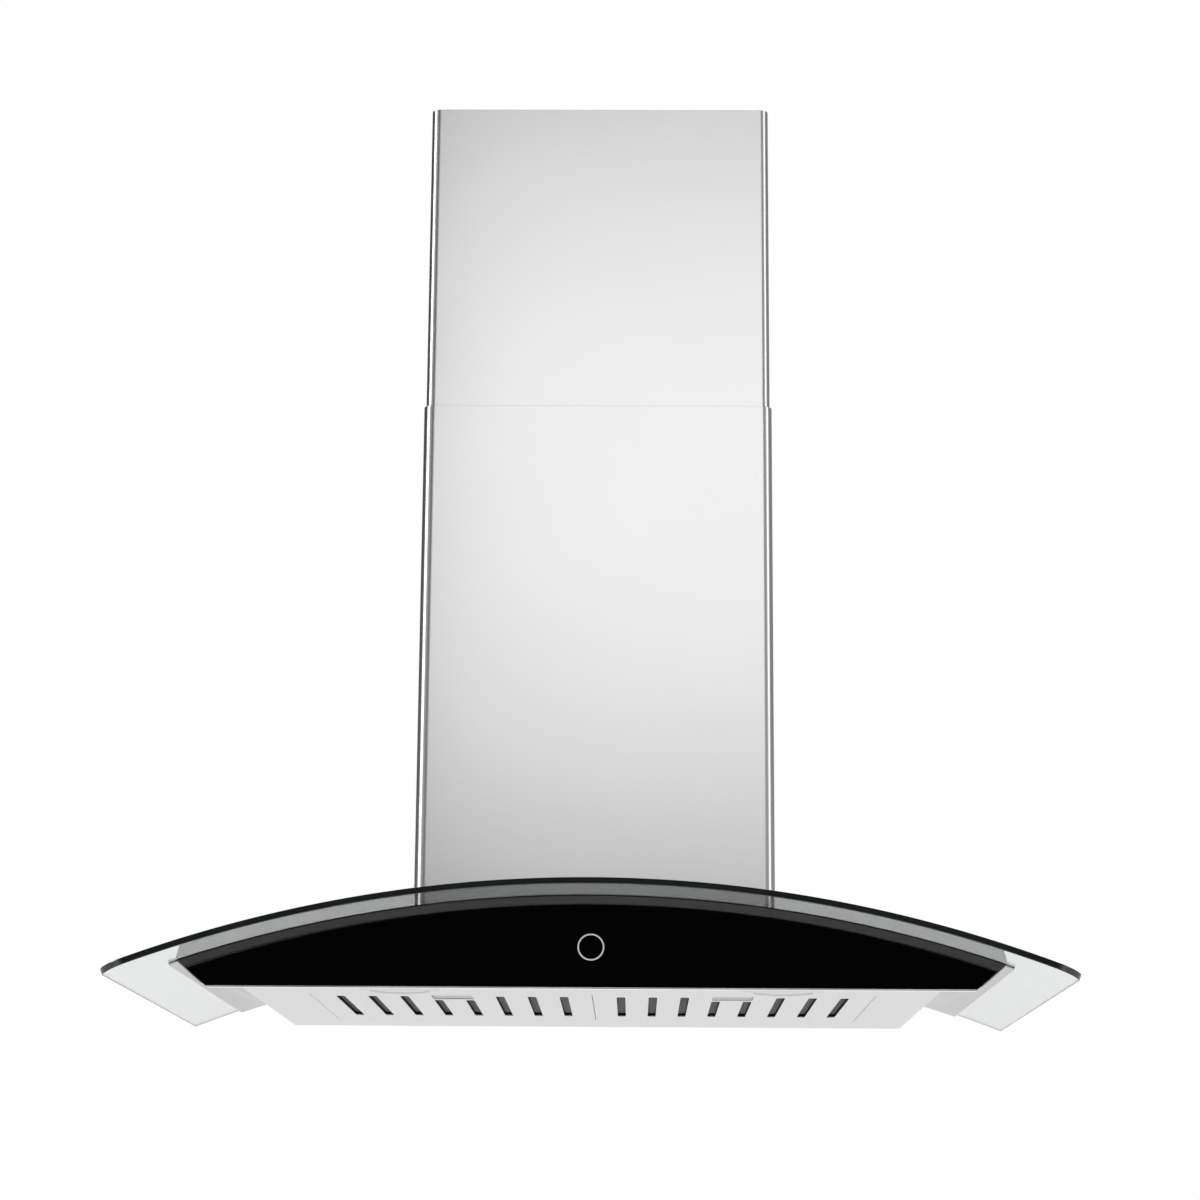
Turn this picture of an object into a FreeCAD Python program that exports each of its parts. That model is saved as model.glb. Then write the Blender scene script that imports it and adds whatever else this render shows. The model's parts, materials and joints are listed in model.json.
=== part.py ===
import FreeCAD, Part
import math
import os

import Sketcher
from FreeCAD import Placement, Rotation, Vector

# Wall-mounted range hood with an arched glass canopy and a telescopic chimney.
# Millimetres. +X to the viewer's right, +Y into the wall, +Z up. The wall is the plane Y = 0,
# the hood is centred on X = 0, and Z = 0 is the crown of the glass.

doc = FreeCAD.newDocument("CurvedGlassHood")
sheet = doc.addObject("Spreadsheet::Sheet", "Dim")


# ---------------------------------------------------------------- sizes

class Size:
    """A length or angle: the formula that the document keeps, and its present number."""

    def __init__(self, formula, number):
        self.formula = formula
        self.number = number

    def __add__(self, other):
        other = as_size(other)
        return Size(f"({self.formula} + {other.formula})", self.number + other.number)

    def __sub__(self, other):
        other = as_size(other)
        return Size(f"({self.formula} - {other.formula})", self.number - other.number)

    def __mul__(self, other):
        other = as_size(other)
        return Size(f"({self.formula} * {other.formula})", self.number * other.number)

    def __truediv__(self, other):
        other = as_size(other)
        return Size(f"({self.formula} / {other.formula})", self.number / other.number)

    def __radd__(self, other):
        return as_size(other) + self

    def __rsub__(self, other):
        return as_size(other) - self

    def __rmul__(self, other):
        return as_size(other) * self

    def __neg__(self):
        return 0 - self


def as_size(value):
    return value if isinstance(value, Size) else Size(repr(float(value)), float(value))


def root(value):
    return Size(f"sqrt({value.formula})", math.sqrt(value.number))


def size(name, number):
    """One driving dimension: a cell of the sheet with an alias."""
    row = size.row = getattr(size, "row", 0) + 1
    sheet.set(f"A{row}", name)
    sheet.set(f"B{row}", str(number))
    sheet.setAlias(f"B{row}", name)
    return Size(f"Dim.{name}", float(number))


# glass canopy
glass_width = size("glass_width", 750.0)
glass_reach = size("glass_reach", 500.0)
glass_radius = size("glass_radius", 1031.0)
glass_thickness = size("glass_thickness", 5.0)
glass_corner = size("glass_corner", 20.0)
notch_corner = size("notch_corner", 6.0)
glass_lap = size("glass_lap", 4.5)
wall_gap = size("wall_gap", 1.0)
gasket_thickness = size("gasket_thickness", 1.0)
gasket_width = size("gasket_width", 14.0)

# steel body under the glass
metal = size("metal", 1.0)
glass_side_overhang = size("glass_side_overhang", 44.0)
side_flange_width = size("side_flange_width", 55.0)
body_edge_height = size("body_edge_height", 15.4)
rear_slope_reach = size("rear_slope_reach", 39.0)
body_flange = size("body_flange", 9.0)

# control panel
front_overhang = size("front_overhang", 65.0)
panel_thickness = size("panel_thickness", 4.0)
panel_inset = size("panel_inset", 7.0)
panel_end_run = size("panel_end_run", 23.0)
panel_skirt = size("panel_skirt", 1.6)
trim_height = size("trim_height", 6.2)
trim_gap = size("trim_gap", 0.1)
lip_thickness = size("lip_thickness", 1.2)
lip_reach = size("lip_reach", 1.0)
lip_riser = size("lip_riser", 10.0)
ring_diameter = size("ring_diameter", 21.0)
ring_line = size("ring_line", 1.3)
ring_depth = size("ring_depth", 1.0)
ring_rise = size("ring_rise", 31.5)
control_width = size("control_width", 140.0)
control_gap = size("control_gap", 1.5)
control_depth = size("control_depth", 16.0)
chip_width = size("chip_width", 14.0)
chip_height = size("chip_height", 12.0)
plastic = size("plastic", 2.0)
board_thickness = size("board_thickness", 1.6)

# lamps
lamp_spacing = size("lamp_spacing", 304.0)
lamp_setback = size("lamp_setback", 42.0)
bezel_diameter = size("bezel_diameter", 66.0)
bezel_thickness = size("bezel_thickness", 1.5)
lamp_bore = size("lamp_bore", 54.0)
lens_diameter = size("lens_diameter", 48.0)
lens_thickness = size("lens_thickness", 2.5)
lamp_height = size("lamp_height", 18.0)

# grease filters
plate_margin = size("plate_margin", 47.25)
lamp_gap = size("lamp_gap", 4.0)
filter_height = size("filter_height", 9.0)
filter_setback = size("filter_setback", 111.0)
filter_gap = size("filter_gap", 0.5)
slot_count = 8
slot_side_margin = size("slot_side_margin", 23.0)
slot_width = size("slot_width", 7.0)
slot_front_margin = size("slot_front_margin", 20.0)
slot_rear_margin = size("slot_rear_margin", 42.0)
slot_short_margin = size("slot_short_margin", 54.0)
baffle_lift = size("baffle_lift", 2.0)
baffle_slot_width = size("baffle_slot_width", 10.0)
tab_thickness = size("tab_thickness", 1.2)
tab_width = size("tab_width", 24.0)
tab_reach = size("tab_reach", 5.0)
tab_margin = size("tab_margin", 39.0)
latch_width = size("latch_width", 33.0)
latch_length = size("latch_length", 35.0)
latch_margin = size("latch_margin", 9.0)
latch_ledge = size("latch_ledge", 2.0)
latch_travel = size("latch_travel", 6.0)
latch_play = size("latch_play", 0.3)
tongue_width = size("tongue_width", 16.0)

# motor housing, blower and duct collar
housing_side_gap = size("housing_side_gap", 16.5)
housing_front_gap = size("housing_front_gap", 16.0)
housing_height = size("housing_height", 230.0)
back_plate_thickness = size("back_plate_thickness", 1.5)
wall_hole_spacing = size("wall_hole_spacing", 200.0)
wall_hole_level = size("wall_hole_level", 15.0)
wall_hole_margin = size("wall_hole_margin", 25.0)
wall_hole_diameter = size("wall_hole_diameter", 7.0)
scroll_radius = size("scroll_radius", 100.0)
scroll_width = size("scroll_width", 114.0)
scroll_level = size("scroll_level", 92.0)
scroll_wall_gap = size("scroll_wall_gap", 12.0)
scroll_mouth = size("scroll_mouth", 120.0)
inlet_diameter = size("inlet_diameter", 126.0)
wheel_diameter = size("wheel_diameter", 146.0)
wheel_width = size("wheel_width", 98.0)
blade_count = 36
blade_depth = size("blade_depth", 11.0)
blade_thickness = size("blade_thickness", 1.2)
hub_thickness = size("hub_thickness", 3.0)
hub_offset = size("hub_offset", 12.0)
hub_diameter = size("hub_diameter", 28.0)
motor_gap = size("motor_gap", 4.5)
shaft_diameter = size("shaft_diameter", 8.0)
bearing_clearance = size("bearing_clearance", 0.05)
motor_diameter = size("motor_diameter", 92.0)
motor_length = size("motor_length", 72.0)
spider_thickness = size("spider_thickness", 3.0)
spider_lap = size("spider_lap", 12.0)
spider_band = size("spider_band", 4.0)
duct_diameter = size("duct_diameter", 150.0)
collar_height = size("collar_height", 50.0)
collar_flange = size("collar_flange", 10.0)
collar_setback = size("collar_setback", 150.0)
pin_diameter = size("pin_diameter", 4.0)
pin_level = size("pin_level", 22.0)
knuckle_diameter = size("knuckle_diameter", 8.0)
knuckle_length = size("knuckle_length", 25.0)
knuckle_pitch = size("knuckle_pitch", 30.0)
flap_thickness = size("flap_thickness", 1.5)
flap_clearance = size("flap_clearance", 1.0)
seat_gap = size("seat_gap", 0.3)

# electrical pieces in the motor housing
terminal_width = size("terminal_width", 62.0)
terminal_depth = size("terminal_depth", 60.0)
terminal_height = size("terminal_height", 60.0)
terminal_level = size("terminal_level", 8.0)
capacitor_diameter = size("capacitor_diameter", 30.0)
capacitor_length = size("capacitor_length", 55.0)
gland_bore = size("gland_bore", 8.0)
gland_neck = size("gland_neck", 16.0)
gland_nut = size("gland_nut", 21.0)
gland_nut_height = size("gland_nut_height", 3.0)
gland_height = size("gland_height", 8.0)
gland_margin = size("gland_margin", 24.0)

# chimney
chimney_width = size("chimney_width", 305.0)
chimney_depth = size("chimney_depth", 272.0)
chimney_height = size("chimney_height", 444.5)
chimney_rise = size("chimney_rise", 277.5)
chimney_overlap = size("chimney_overlap", 154.0)
chimney_corner = size("chimney_corner", 9.5)
slide_clearance = size("slide_clearance", 0.75)
glass_clearance = size("glass_clearance", 0.3)
return_width = size("return_width", 12.0)
bracket_height = size("bracket_height", 25.0)
bracket_depth = size("bracket_depth", 25.0)
bracket_gap = size("bracket_gap", 1.5)
bracket_metal = size("bracket_metal", 1.5)
bracket_level = size("bracket_level", 8.0)
chimney_screw_setback = size("chimney_screw_setback", 15.0)

# screws: M4 low heads
screw_diameter = size("screw_diameter", 4.0)
screw_head = size("screw_head", 8.0)
screw_head_height = size("screw_head_height", 1.2)
screw_length = size("screw_length", 8.0)
screw_edge = size("screw_edge", 6.0)

doc.recompute()


# how far a cut runs past the piece that it trims
beyond = 5.0


# ---------------------------------------------------------------- drawing helpers

def bind(item, path, value):
    item.setExpression(path, as_size(value).formula)


def move(item, x=None, y=None, z=None):
    """Bind the place of an object to the sizes."""
    for axis, value in (("x", x), ("y", y), ("z", z)):
        if value is not None:
            bind(item, f"Placement.Base.{axis}", value)
    return item


def new_body(label):
    body = doc.addObject("PartDesign::Body", "Body")
    body.Label = label
    return body


def new_sketch(body, role, offset=0):
    """A sketch on an origin plane of its body, lifted by offset along the plane's normal."""
    drawing = body.newObject("Sketcher::SketchObject", "Sketch")
    plane = next(item for item in body.Origin.OriginFeatures if item.Role == role)
    drawing.AttachmentSupport = [(plane, "")]
    drawing.MapMode = "FlatFace"
    bind(drawing, "AttachmentOffset.Base.z", offset)
    return drawing


def constrain(drawing, name, *arguments, value):
    index = drawing.addConstraint(Sketcher.Constraint(name, *arguments, as_size(value).number))
    label = f"c{index}"
    drawing.renameConstraint(index, label)
    bind(drawing, f"Constraints.{label}", value)


def pin_point(drawing, curve, point, x=None, y=None):
    if x is not None:
        constrain(drawing, "DistanceX", -1, 1, curve, point, value=x)
    if y is not None:
        constrain(drawing, "DistanceY", -1, 1, curve, point, value=y)


def draw_circle(drawing, x, y, diameter):
    x, y, radius = as_size(x), as_size(y), diameter / 2
    centre = Vector(x.number, y.number, 0)
    curve = drawing.addGeometry(Part.Circle(centre, Vector(0, 0, 1), radius.number), False)
    pin_point(drawing, curve, 3, x, y)
    constrain(drawing, "Radius", curve, value=radius)


def draw_loop(drawing, corners, arcs=None):
    """A closed outline of lines and arcs.

    corners are (x, y); y is None where an arc of known centre sets it. arcs maps the number of an
    edge to (centre x, centre y, radius); an edge runs from its own corner to the next one.
    """
    arcs = arcs or {}
    count = len(corners)
    points = []
    for index, (x, y) in enumerate(corners):
        x = as_size(x)
        if y is None:
            arc = arcs.get(index) or arcs[(index - 1) % count]
            centre_x, centre_y, radius = (as_size(part) for part in arc)
            rise = math.sqrt(radius.number ** 2 - (x.number - centre_x.number) ** 2)
            points.append(Vector(x.number, centre_y.number + rise, 0))
        else:
            points.append(Vector(x.number, as_size(y).number, 0))
    ends = []
    for index in range(count):
        start, end = points[index], points[(index + 1) % count]
        if index not in arcs:
            curve = drawing.addGeometry(Part.LineSegment(start, end), False)
            ends.append((curve, 1, 2))
            continue
        centre_x, centre_y, radius = (as_size(part) for part in arcs[index])
        centre = Vector(centre_x.number, centre_y.number, 0)
        circle = Part.Circle(centre, Vector(0, 0, 1), radius.number)
        first, second = start - centre, end - centre
        forward = first.x * second.y - first.y * second.x > 0
        angles = [math.atan2(arm.y, arm.x) for arm in (first, second)]
        if not forward:
            angles.reverse()
        curve = drawing.addGeometry(Part.ArcOfCircle(circle, *angles), False)
        ends.append((curve, 1, 2) if forward else (curve, 2, 1))
        if corners[index][1] is None or corners[(index + 1) % count][1] is None:
            pin_point(drawing, curve, 3, centre_x, centre_y)
        constrain(drawing, "Radius", curve, value=radius)
    for index in range(count):
        curve, _, last = ends[index]
        following, first, _ = ends[(index + 1) % count]
        drawing.addConstraint(Sketcher.Constraint("Coincident", curve, last, following, first))
    for index, (x, y) in enumerate(corners):
        curve, first, _ = ends[index]
        pin_point(drawing, curve, first, x, y)


def draw_rectangle(drawing, x0, x1, y0, y1):
    draw_loop(drawing, [(x0, y0), (x1, y0), (x1, y1), (x0, y1)])


def draw_slot(drawing, x, y0, y1, width):
    """A slot with round ends, along Y, from y0 to y1 over all."""
    half = width / 2
    low, high = y0 + half, y1 - half
    curves = []
    for level, start in ((low, math.pi), (high, 0.0)):
        circle = Part.Circle(Vector(x.number, level.number, 0), Vector(0, 0, 1), half.number)
        curves.append(drawing.addGeometry(Part.ArcOfCircle(circle, start, start + math.pi), False))
    for side, first, second in ((1, low, high), (-1, high, low)):
        across = x.number + side * half.number
        line = Part.LineSegment(Vector(across, first.number, 0), Vector(across, second.number, 0))
        curves.append(drawing.addGeometry(line, False))
    bottom, top, right, left = curves
    for joint in ((bottom, 2, right, 1), (right, 2, top, 1), (top, 2, left, 1), (left, 2, bottom, 1)):
        drawing.addConstraint(Sketcher.Constraint("Tangent", *joint))
    drawing.addConstraint(Sketcher.Constraint("Equal", bottom, top))
    pin_point(drawing, bottom, 3, x, low)
    pin_point(drawing, top, 3, None, high)
    constrain(drawing, "Radius", bottom, value=half)


volumes = {}


def finish_feature(body, feature, grows):
    """Recompute, and make sure that the feature added or removed material."""
    before = volumes.get(body.Name, 0.0)
    doc.recompute()
    after = body.Shape.Volume
    if grows and after <= before or not grows and after >= before:
        raise RuntimeError(f"{body.Label}: {feature.Name} changed nothing")
    if not body.Shape.isValid():
        raise RuntimeError(f"{body.Label}: {feature.Name} left a bad shape")
    volumes[body.Name] = after
    return feature


def pad(body, drawing, length, both=False, back=False):
    feature = body.newObject("PartDesign::Pad", "Pad")
    feature.Profile = drawing
    feature.SideType = "Symmetric" if both else "One side"
    feature.Reversed = back
    bind(feature, "Length", length)
    return finish_feature(body, feature, True)


def pocket(body, drawing, length=None, both=False, back=False):
    """Cut against the sketch's normal, or along it with back; through everything without length."""
    feature = body.newObject("PartDesign::Pocket", "Pocket")
    feature.Profile = drawing
    feature.SideType = "Symmetric" if both else "One side"
    feature.Reversed = back
    if length is None:
        feature.Type = "ThroughAll"
    else:
        bind(feature, "Length", length)
    return finish_feature(body, feature, False)


def revolve(body, drawing):
    """A full turn about the sketch's vertical axis."""
    feature = body.newObject("PartDesign::Revolution", "Revolution")
    feature.Profile = drawing
    feature.ReferenceAxis = (drawing, ["V_Axis"])
    feature.Angle = 360.0
    return finish_feature(body, feature, True)


def fillet(body, radius, test, grows):
    """Round the edges of the body's last feature that pass the test."""
    base = body.Tip
    names = [f"Edge{number}" for number, edge in enumerate(body.Shape.Edges, 1) if test(edge)]
    feature = body.newObject("PartDesign::Fillet", "Fillet")
    feature.Base = (base, names)
    bind(feature, "Radius", radius)
    return finish_feature(body, feature, grows)


X_AXIS = Vector(1, 0, 0)
Z_AXIS = Vector(0, 0, 1)


def cylinder(label, diameter, length, x=0, y=0, z=0, axis=Z_AXIS):
    item = doc.addObject("Part::Cylinder", "Cylinder")
    item.Label = label
    bind(item, "Radius", diameter / 2)
    bind(item, "Height", length)
    item.Placement = Placement(Vector(), Rotation(Z_AXIS, axis))
    return move(item, x, y, z)


def group(label, items):
    """Several equal pieces in one node, each a solid of its own."""
    bundle = doc.addObject("Part::Compound", "Group")
    bundle.Label = label
    bundle.Links = items
    return bundle


# ---------------------------------------------------------------- shared levels and planes

arch_centre = -glass_radius
glass_under = glass_radius - glass_thickness
body_arch = glass_under - gasket_thickness


def arch_level(radius, across):
    """Height of an arch of the canopy at a distance from the centre plane."""
    return root(radius * radius - across * across) - glass_radius


half_body = glass_width / 2 - glass_side_overhang
half_plate = half_body - side_flange_width
body_edge_level = arch_level(body_arch, half_body)
plate_under = body_edge_level - body_edge_height
plate_top = plate_under + metal
panel_low = plate_under - panel_skirt
ring_level = panel_low + ring_rise
control_low = panel_low + lip_riser + control_gap
control_high = ring_level * 2 - control_low
half_panel_top = half_body - panel_inset
half_panel_bottom = half_panel_top - panel_end_run
panel_face = front_overhang - glass_reach
panel_back = panel_face + panel_thickness
shell_front = panel_back + metal
lamp_y = panel_face + lamp_setback
half_chimney = chimney_width / 2
half_housing = half_chimney - metal - housing_side_gap
housing_depth = chimney_depth - metal - housing_front_gap
filter_width = half_plate - plate_margin - filter_gap - filter_gap / 2
filter_depth = -filter_setback - (lamp_y + bezel_diameter / 2 + lamp_gap)
notch_half = half_chimney - metal - glass_lap
notch_depth = chimney_depth - metal - glass_lap


def arch_band(body, outer, inner, half_width, start, end):
    """Pad the band between two arches, from the plane Y = start forward to Y = end."""
    drawing = new_sketch(body, "XZ_Plane", -start)
    inner_half = half_width * inner / outer
    draw_loop(
        drawing,
        [(-half_width, None), (half_width, None), (inner_half, None), (-inner_half, None)],
        {0: (0, arch_centre, outer), 2: (0, arch_centre, inner)},
    )
    return pad(body, drawing, start - end)


def notch_cut(body):
    """The notch at the wall that lets the motor housing through."""
    drawing = new_sketch(body, "XY_Plane", glass_thickness)
    draw_rectangle(drawing, -notch_half, notch_half, -notch_depth, wall_gap)
    return pocket(body, drawing)


def arch_cut_below(body, radius, half_width):
    """Cut away everything under an arch of the canopy."""
    drawing = new_sketch(body, "XZ_Plane")
    low = plate_under - glass_thickness
    draw_loop(
        drawing,
        [(-half_width, None), (half_width, None), (half_width, low), (-half_width, low)],
        {0: (0, arch_centre, radius)},
    )
    return pocket(body, drawing, back=True)


# ---------------------------------------------------------------- canopy and body

def housing_screw_places():
    """Three places on the front of the housing's flange and two on each side of it."""
    middle = (half_housing + notch_half) / 2
    front = -(housing_depth + notch_depth) / 2
    places = [(across * half_housing * 2 / 3, front) for across in (-1, 0, 1)]
    for side in (-1, 1):
        for quarters in (1, 3):
            places.append((side * middle, -housing_depth * quarters / 4))
    return places


def collar_screw_places():
    radius = (duct_diameter + collar_flange) / 2 * math.sqrt(0.5)
    return [(x * radius, y * radius) for x in (-1, 1) for y in (-1, 1)]


def glass_canopy():
    body = new_body("glass_canopy")
    arch_band(body, glass_radius, glass_under, glass_width / 2, -wall_gap, -glass_reach)
    notch_cut(body)

    def across(edge):
        return edge.Length < 1.2 * glass_thickness.number

    def at_front(edge):
        return across(edge) and edge.BoundBox.YMax < 0.01 - glass_reach.number

    def in_notch(edge):
        return across(edge) and abs(edge.BoundBox.YMax + notch_depth.number) < 0.01

    fillet(body, glass_corner, at_front, grows=False)
    fillet(body, notch_corner, in_notch, grows=True)


def glass_gasket():
    body = new_body("glass_gasket")
    outer = glass_under - trim_gap
    arch_band(body, outer, body_arch + trim_gap, half_body, -wall_gap, panel_face)
    notch_cut(body)
    drawing = new_sketch(body, "XY_Plane", glass_thickness)
    for side in (-1, 1):
        inner = side * (half_chimney + gasket_width)
        outer = side * (half_body - gasket_width)
        draw_rectangle(drawing, inner, outer, shell_front + gasket_width, -(wall_gap + gasket_width))
    pocket(body, drawing)


def upright_sheets(body):
    """The body's side walls, its rear wall with the slope below it, and its slant-ended front."""
    side_top = arch_level(body_arch - metal / 2, half_plate)
    for left in (-half_plate, half_plate - metal):
        drawing = new_sketch(body, "YZ_Plane", left)
        draw_loop(drawing, [
            (shell_front, plate_top),
            (-rear_slope_reach, plate_top),
            (0, body_edge_level),
            (0, side_top),
            (shell_front, side_top),
        ])
        pad(body, drawing, metal)

    drawing = new_sketch(body, "XZ_Plane")
    draw_loop(
        drawing,
        [(-half_plate, body_edge_level), (half_plate, body_edge_level), (half_plate, None), (-half_plate, None)],
        {2: (0, arch_centre, body_arch)},
    )
    pad(body, drawing, metal)

    fall = (body_edge_level - plate_top) / rear_slope_reach
    lift = metal * root(fall * fall + 1)
    drawing = new_sketch(body, "YZ_Plane")
    draw_loop(drawing, [
        (0, body_edge_level),
        (-rear_slope_reach, plate_top),
        (-rear_slope_reach, plate_top + lift),
        (0, body_edge_level + lift),
    ])
    pad(body, drawing, half_plate * 2, both=True)

    end_rise = arch_level(body_arch, half_panel_top) - panel_low
    half_foot = half_panel_bottom + metal + panel_end_run * (plate_top - panel_low) / end_rise
    half_crown = half_panel_top + metal
    drawing = new_sketch(body, "XZ_Plane", -shell_front)
    draw_loop(
        drawing,
        [(-half_foot, plate_top), (half_foot, plate_top), (half_crown, None), (-half_crown, None)],
        {2: (0, arch_centre, body_arch)},
    )
    pad(body, drawing, metal, back=True)


def body_shell():
    """Arched sheet under the glass, with a box of upright sheets below its middle."""
    body = new_body("body_shell")
    arch_band(body, body_arch, body_arch - metal, half_body, as_size(0), shell_front)
    upright_sheets(body)
    rim = new_sketch(body, "XY_Plane", plate_top)
    draw_rectangle(rim, -half_plate, half_plate, shell_front, -rear_slope_reach)
    inside = half_plate - body_flange
    draw_rectangle(rim, -inside, inside, shell_front + body_flange, -(rear_slope_reach + body_flange))
    pad(body, rim, metal)
    mouth = new_sketch(body, "XY_Plane", glass_thickness)
    inside = half_housing - metal
    draw_rectangle(mouth, -inside, inside, -(housing_depth - metal), metal)
    pocket(body, mouth, glass_thickness - body_edge_level - metal * 2)
    rear = new_sketch(body, "XY_Plane", glass_thickness)
    beside = half_housing + seat_gap
    draw_rectangle(rear, -beside, beside, -(back_plate_thickness + seat_gap), metal)
    pocket(body, rear, glass_thickness - body_edge_level - metal * 2)
    window = new_sketch(body, "XZ_Plane", -shell_front)
    half_control = control_width / 2
    draw_rectangle(window, -half_control, half_control, control_low, control_high)
    pocket(body, window, metal * 2)
    holes = new_sketch(body, "XY_Plane", glass_thickness)
    for x, y in housing_screw_places():
        draw_circle(holes, x, y, screw_diameter)
    pocket(body, holes, glass_thickness - body_edge_level)


def bottom_plate():
    body = new_body("bottom_plate")
    drawing = new_sketch(body, "XY_Plane", plate_under)
    draw_rectangle(drawing, -half_plate, half_plate, shell_front, -rear_slope_reach)
    half_opening = filter_width + filter_gap / 2 + filter_gap
    rear = filter_gap - filter_setback
    front = -(filter_setback + filter_depth + filter_gap)
    draw_rectangle(drawing, -half_opening, half_opening, front, rear)
    for side in (-1, 1):
        draw_circle(drawing, side * lamp_spacing / 2, lamp_y, lamp_bore)
    pad(body, drawing, metal)


def slope_ends(body):
    """Trim the panel's two slanted ends."""
    drawing = new_sketch(body, "XZ_Plane", -panel_face + panel_thickness)
    top = arch_level(body_arch, half_panel_top)
    outside = half_panel_top + beyond
    for side in (-1, 1):
        draw_loop(drawing, [
            (side * half_panel_bottom, panel_low),
            (side * half_panel_top, top),
            (side * outside, top),
            (side * outside, panel_low - beyond),
            (side * half_panel_bottom, panel_low - beyond),
        ])
    return pocket(body, drawing)


def panel_top_trim():
    body = new_body("panel_top_trim")
    outer = body_arch - trim_gap
    arch_band(body, outer, body_arch - trim_height, half_panel_top, panel_back, panel_face)
    slope_ends(body)


def control_panel():
    body = new_body("control_panel")
    drawing = new_sketch(body, "XZ_Plane", -panel_back)
    half_top = half_panel_top
    draw_loop(
        drawing,
        [(-half_top, None), (half_top, None), (half_top, panel_low), (-half_top, panel_low)],
        {0: (0, arch_centre, body_arch - trim_height - trim_gap)},
    )
    pad(body, drawing, panel_thickness)
    slope_ends(body)
    groove = new_sketch(body, "XZ_Plane", -panel_face)
    draw_circle(groove, 0, ring_level, ring_diameter)
    draw_circle(groove, 0, ring_level, ring_diameter - ring_line * 2)
    pocket(body, groove, ring_depth)


def touch_ring():
    body = new_body("touch_ring")
    drawing = new_sketch(body, "XZ_Plane", -panel_face)
    draw_circle(drawing, 0, ring_level, ring_diameter)
    draw_circle(drawing, 0, ring_level, ring_diameter - ring_line * 2)
    pad(body, drawing, ring_depth, back=True)


def front_lip():
    body = new_body("front_lip")
    drawing = new_sketch(body, "YZ_Plane")
    top = panel_low + lip_riser
    front = panel_face - lip_reach
    draw_loop(drawing, [
        (front, panel_low - lip_thickness),
        (shell_front, panel_low - lip_thickness),
        (shell_front, top),
        (panel_back, top),
        (panel_back, panel_low),
        (front, panel_low),
    ])
    pad(body, drawing, half_panel_bottom * 2, both=True)


def control_box():
    """Plastic tray in the body's front wall, open towards the glass panel."""
    body = new_body("control_box")
    half = control_width / 2
    drawing = new_sketch(body, "XZ_Plane", -panel_back)
    draw_rectangle(drawing, -half, half, control_low, control_high)
    pad(body, drawing, control_depth, back=True)
    hollow = new_sketch(body, "XZ_Plane", -panel_back)
    low = control_low + plastic
    high = control_high - plastic
    draw_rectangle(hollow, -half + plastic, half - plastic, low, high)
    pocket(body, hollow, control_depth - plastic)


def control_board():
    body = new_body("control_board")
    half = control_width / 2 - plastic
    drawing = new_sketch(body, "XZ_Plane", -panel_back)
    draw_rectangle(drawing, -half, half, control_low + plastic, control_high - plastic)
    pad(body, drawing, board_thickness, back=True)
    chip = new_sketch(body, "XZ_Plane", -panel_back - board_thickness)
    for place in (-1, 0, 1):
        left = place * control_width / 4 - chip_width / 2
        low = ring_level - chip_height / 2
        draw_rectangle(chip, left, left + chip_width, low, low + chip_height)
    pad(body, chip, board_thickness, back=True)


# ---------------------------------------------------------------- lamps

def lamp(side_name, side):
    x = side * lamp_spacing / 2

    bezel = new_body(f"lamp_bezel_{side_name}")
    drawing = new_sketch(bezel, "XZ_Plane")
    outer = bezel_diameter / 2
    tube = lamp_bore / 2 - seat_gap
    inner = lens_diameter / 2
    lens_seat = inner + metal
    draw_loop(drawing, [
        (inner, -bezel_thickness / 2),
        (inner + metal, -bezel_thickness),
        (outer - metal * 2, -bezel_thickness),
        (outer, -bezel_thickness / 3),
        (outer, 0),
        (tube, 0),
        (tube, lamp_height * 2 / 3),
        (lens_seat, lamp_height * 2 / 3),
        (lens_seat, 0),
        (inner, 0),
    ])
    revolve(bezel, drawing)
    move(bezel, x, lamp_y, plate_under)

    lens = new_body(f"lamp_lens_{side_name}")
    drawing = new_sketch(lens, "XZ_Plane")
    pane = lens_diameter / 2 - trim_gap
    brim = lens_seat - trim_gap
    draw_loop(drawing, [
        (0, -bezel_thickness * 2 / 3),
        (pane, -bezel_thickness / 3),
        (pane, 0),
        (brim, 0),
        (brim, lens_thickness - bezel_thickness * 2 / 3),
        (0, lens_thickness - bezel_thickness * 2 / 3),
    ])
    revolve(lens, drawing)
    move(lens, x, lamp_y, plate_under)

    module = new_body(f"lamp_module_{side_name}")
    drawing = new_sketch(module, "XZ_Plane")
    base = lens_thickness - bezel_thickness * 2 / 3
    core = lens_diameter / 3
    step = (lamp_height - base) / 5
    draw_loop(drawing, [
        (0, base),
        (brim, base),
        (brim, base + step),
        (core, base + step),
        (core, base + step * 2),
        (brim, base + step * 2),
        (brim, base + step * 3),
        (core, base + step * 3),
        (core, base + step * 4),
        (brim, base + step * 4),
        (brim, base + step * 5),
        (0, base + step * 5),
    ])
    revolve(module, drawing)
    move(module, x, lamp_y, plate_under)


# ---------------------------------------------------------------- grease filters

def filter_slots(drawing, count, width):
    """Slots from front to back; those behind the latch start further back."""
    slot_pitch = (filter_width - slot_side_margin * 2) / (slot_count - 1)
    for number in range(count):
        place = number - (count - 1) / 2
        margin = slot_short_margin if abs(place) < 1 else slot_front_margin
        front = margin - filter_depth
        draw_slot(drawing, slot_pitch * place, front, -slot_rear_margin, width)


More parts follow.
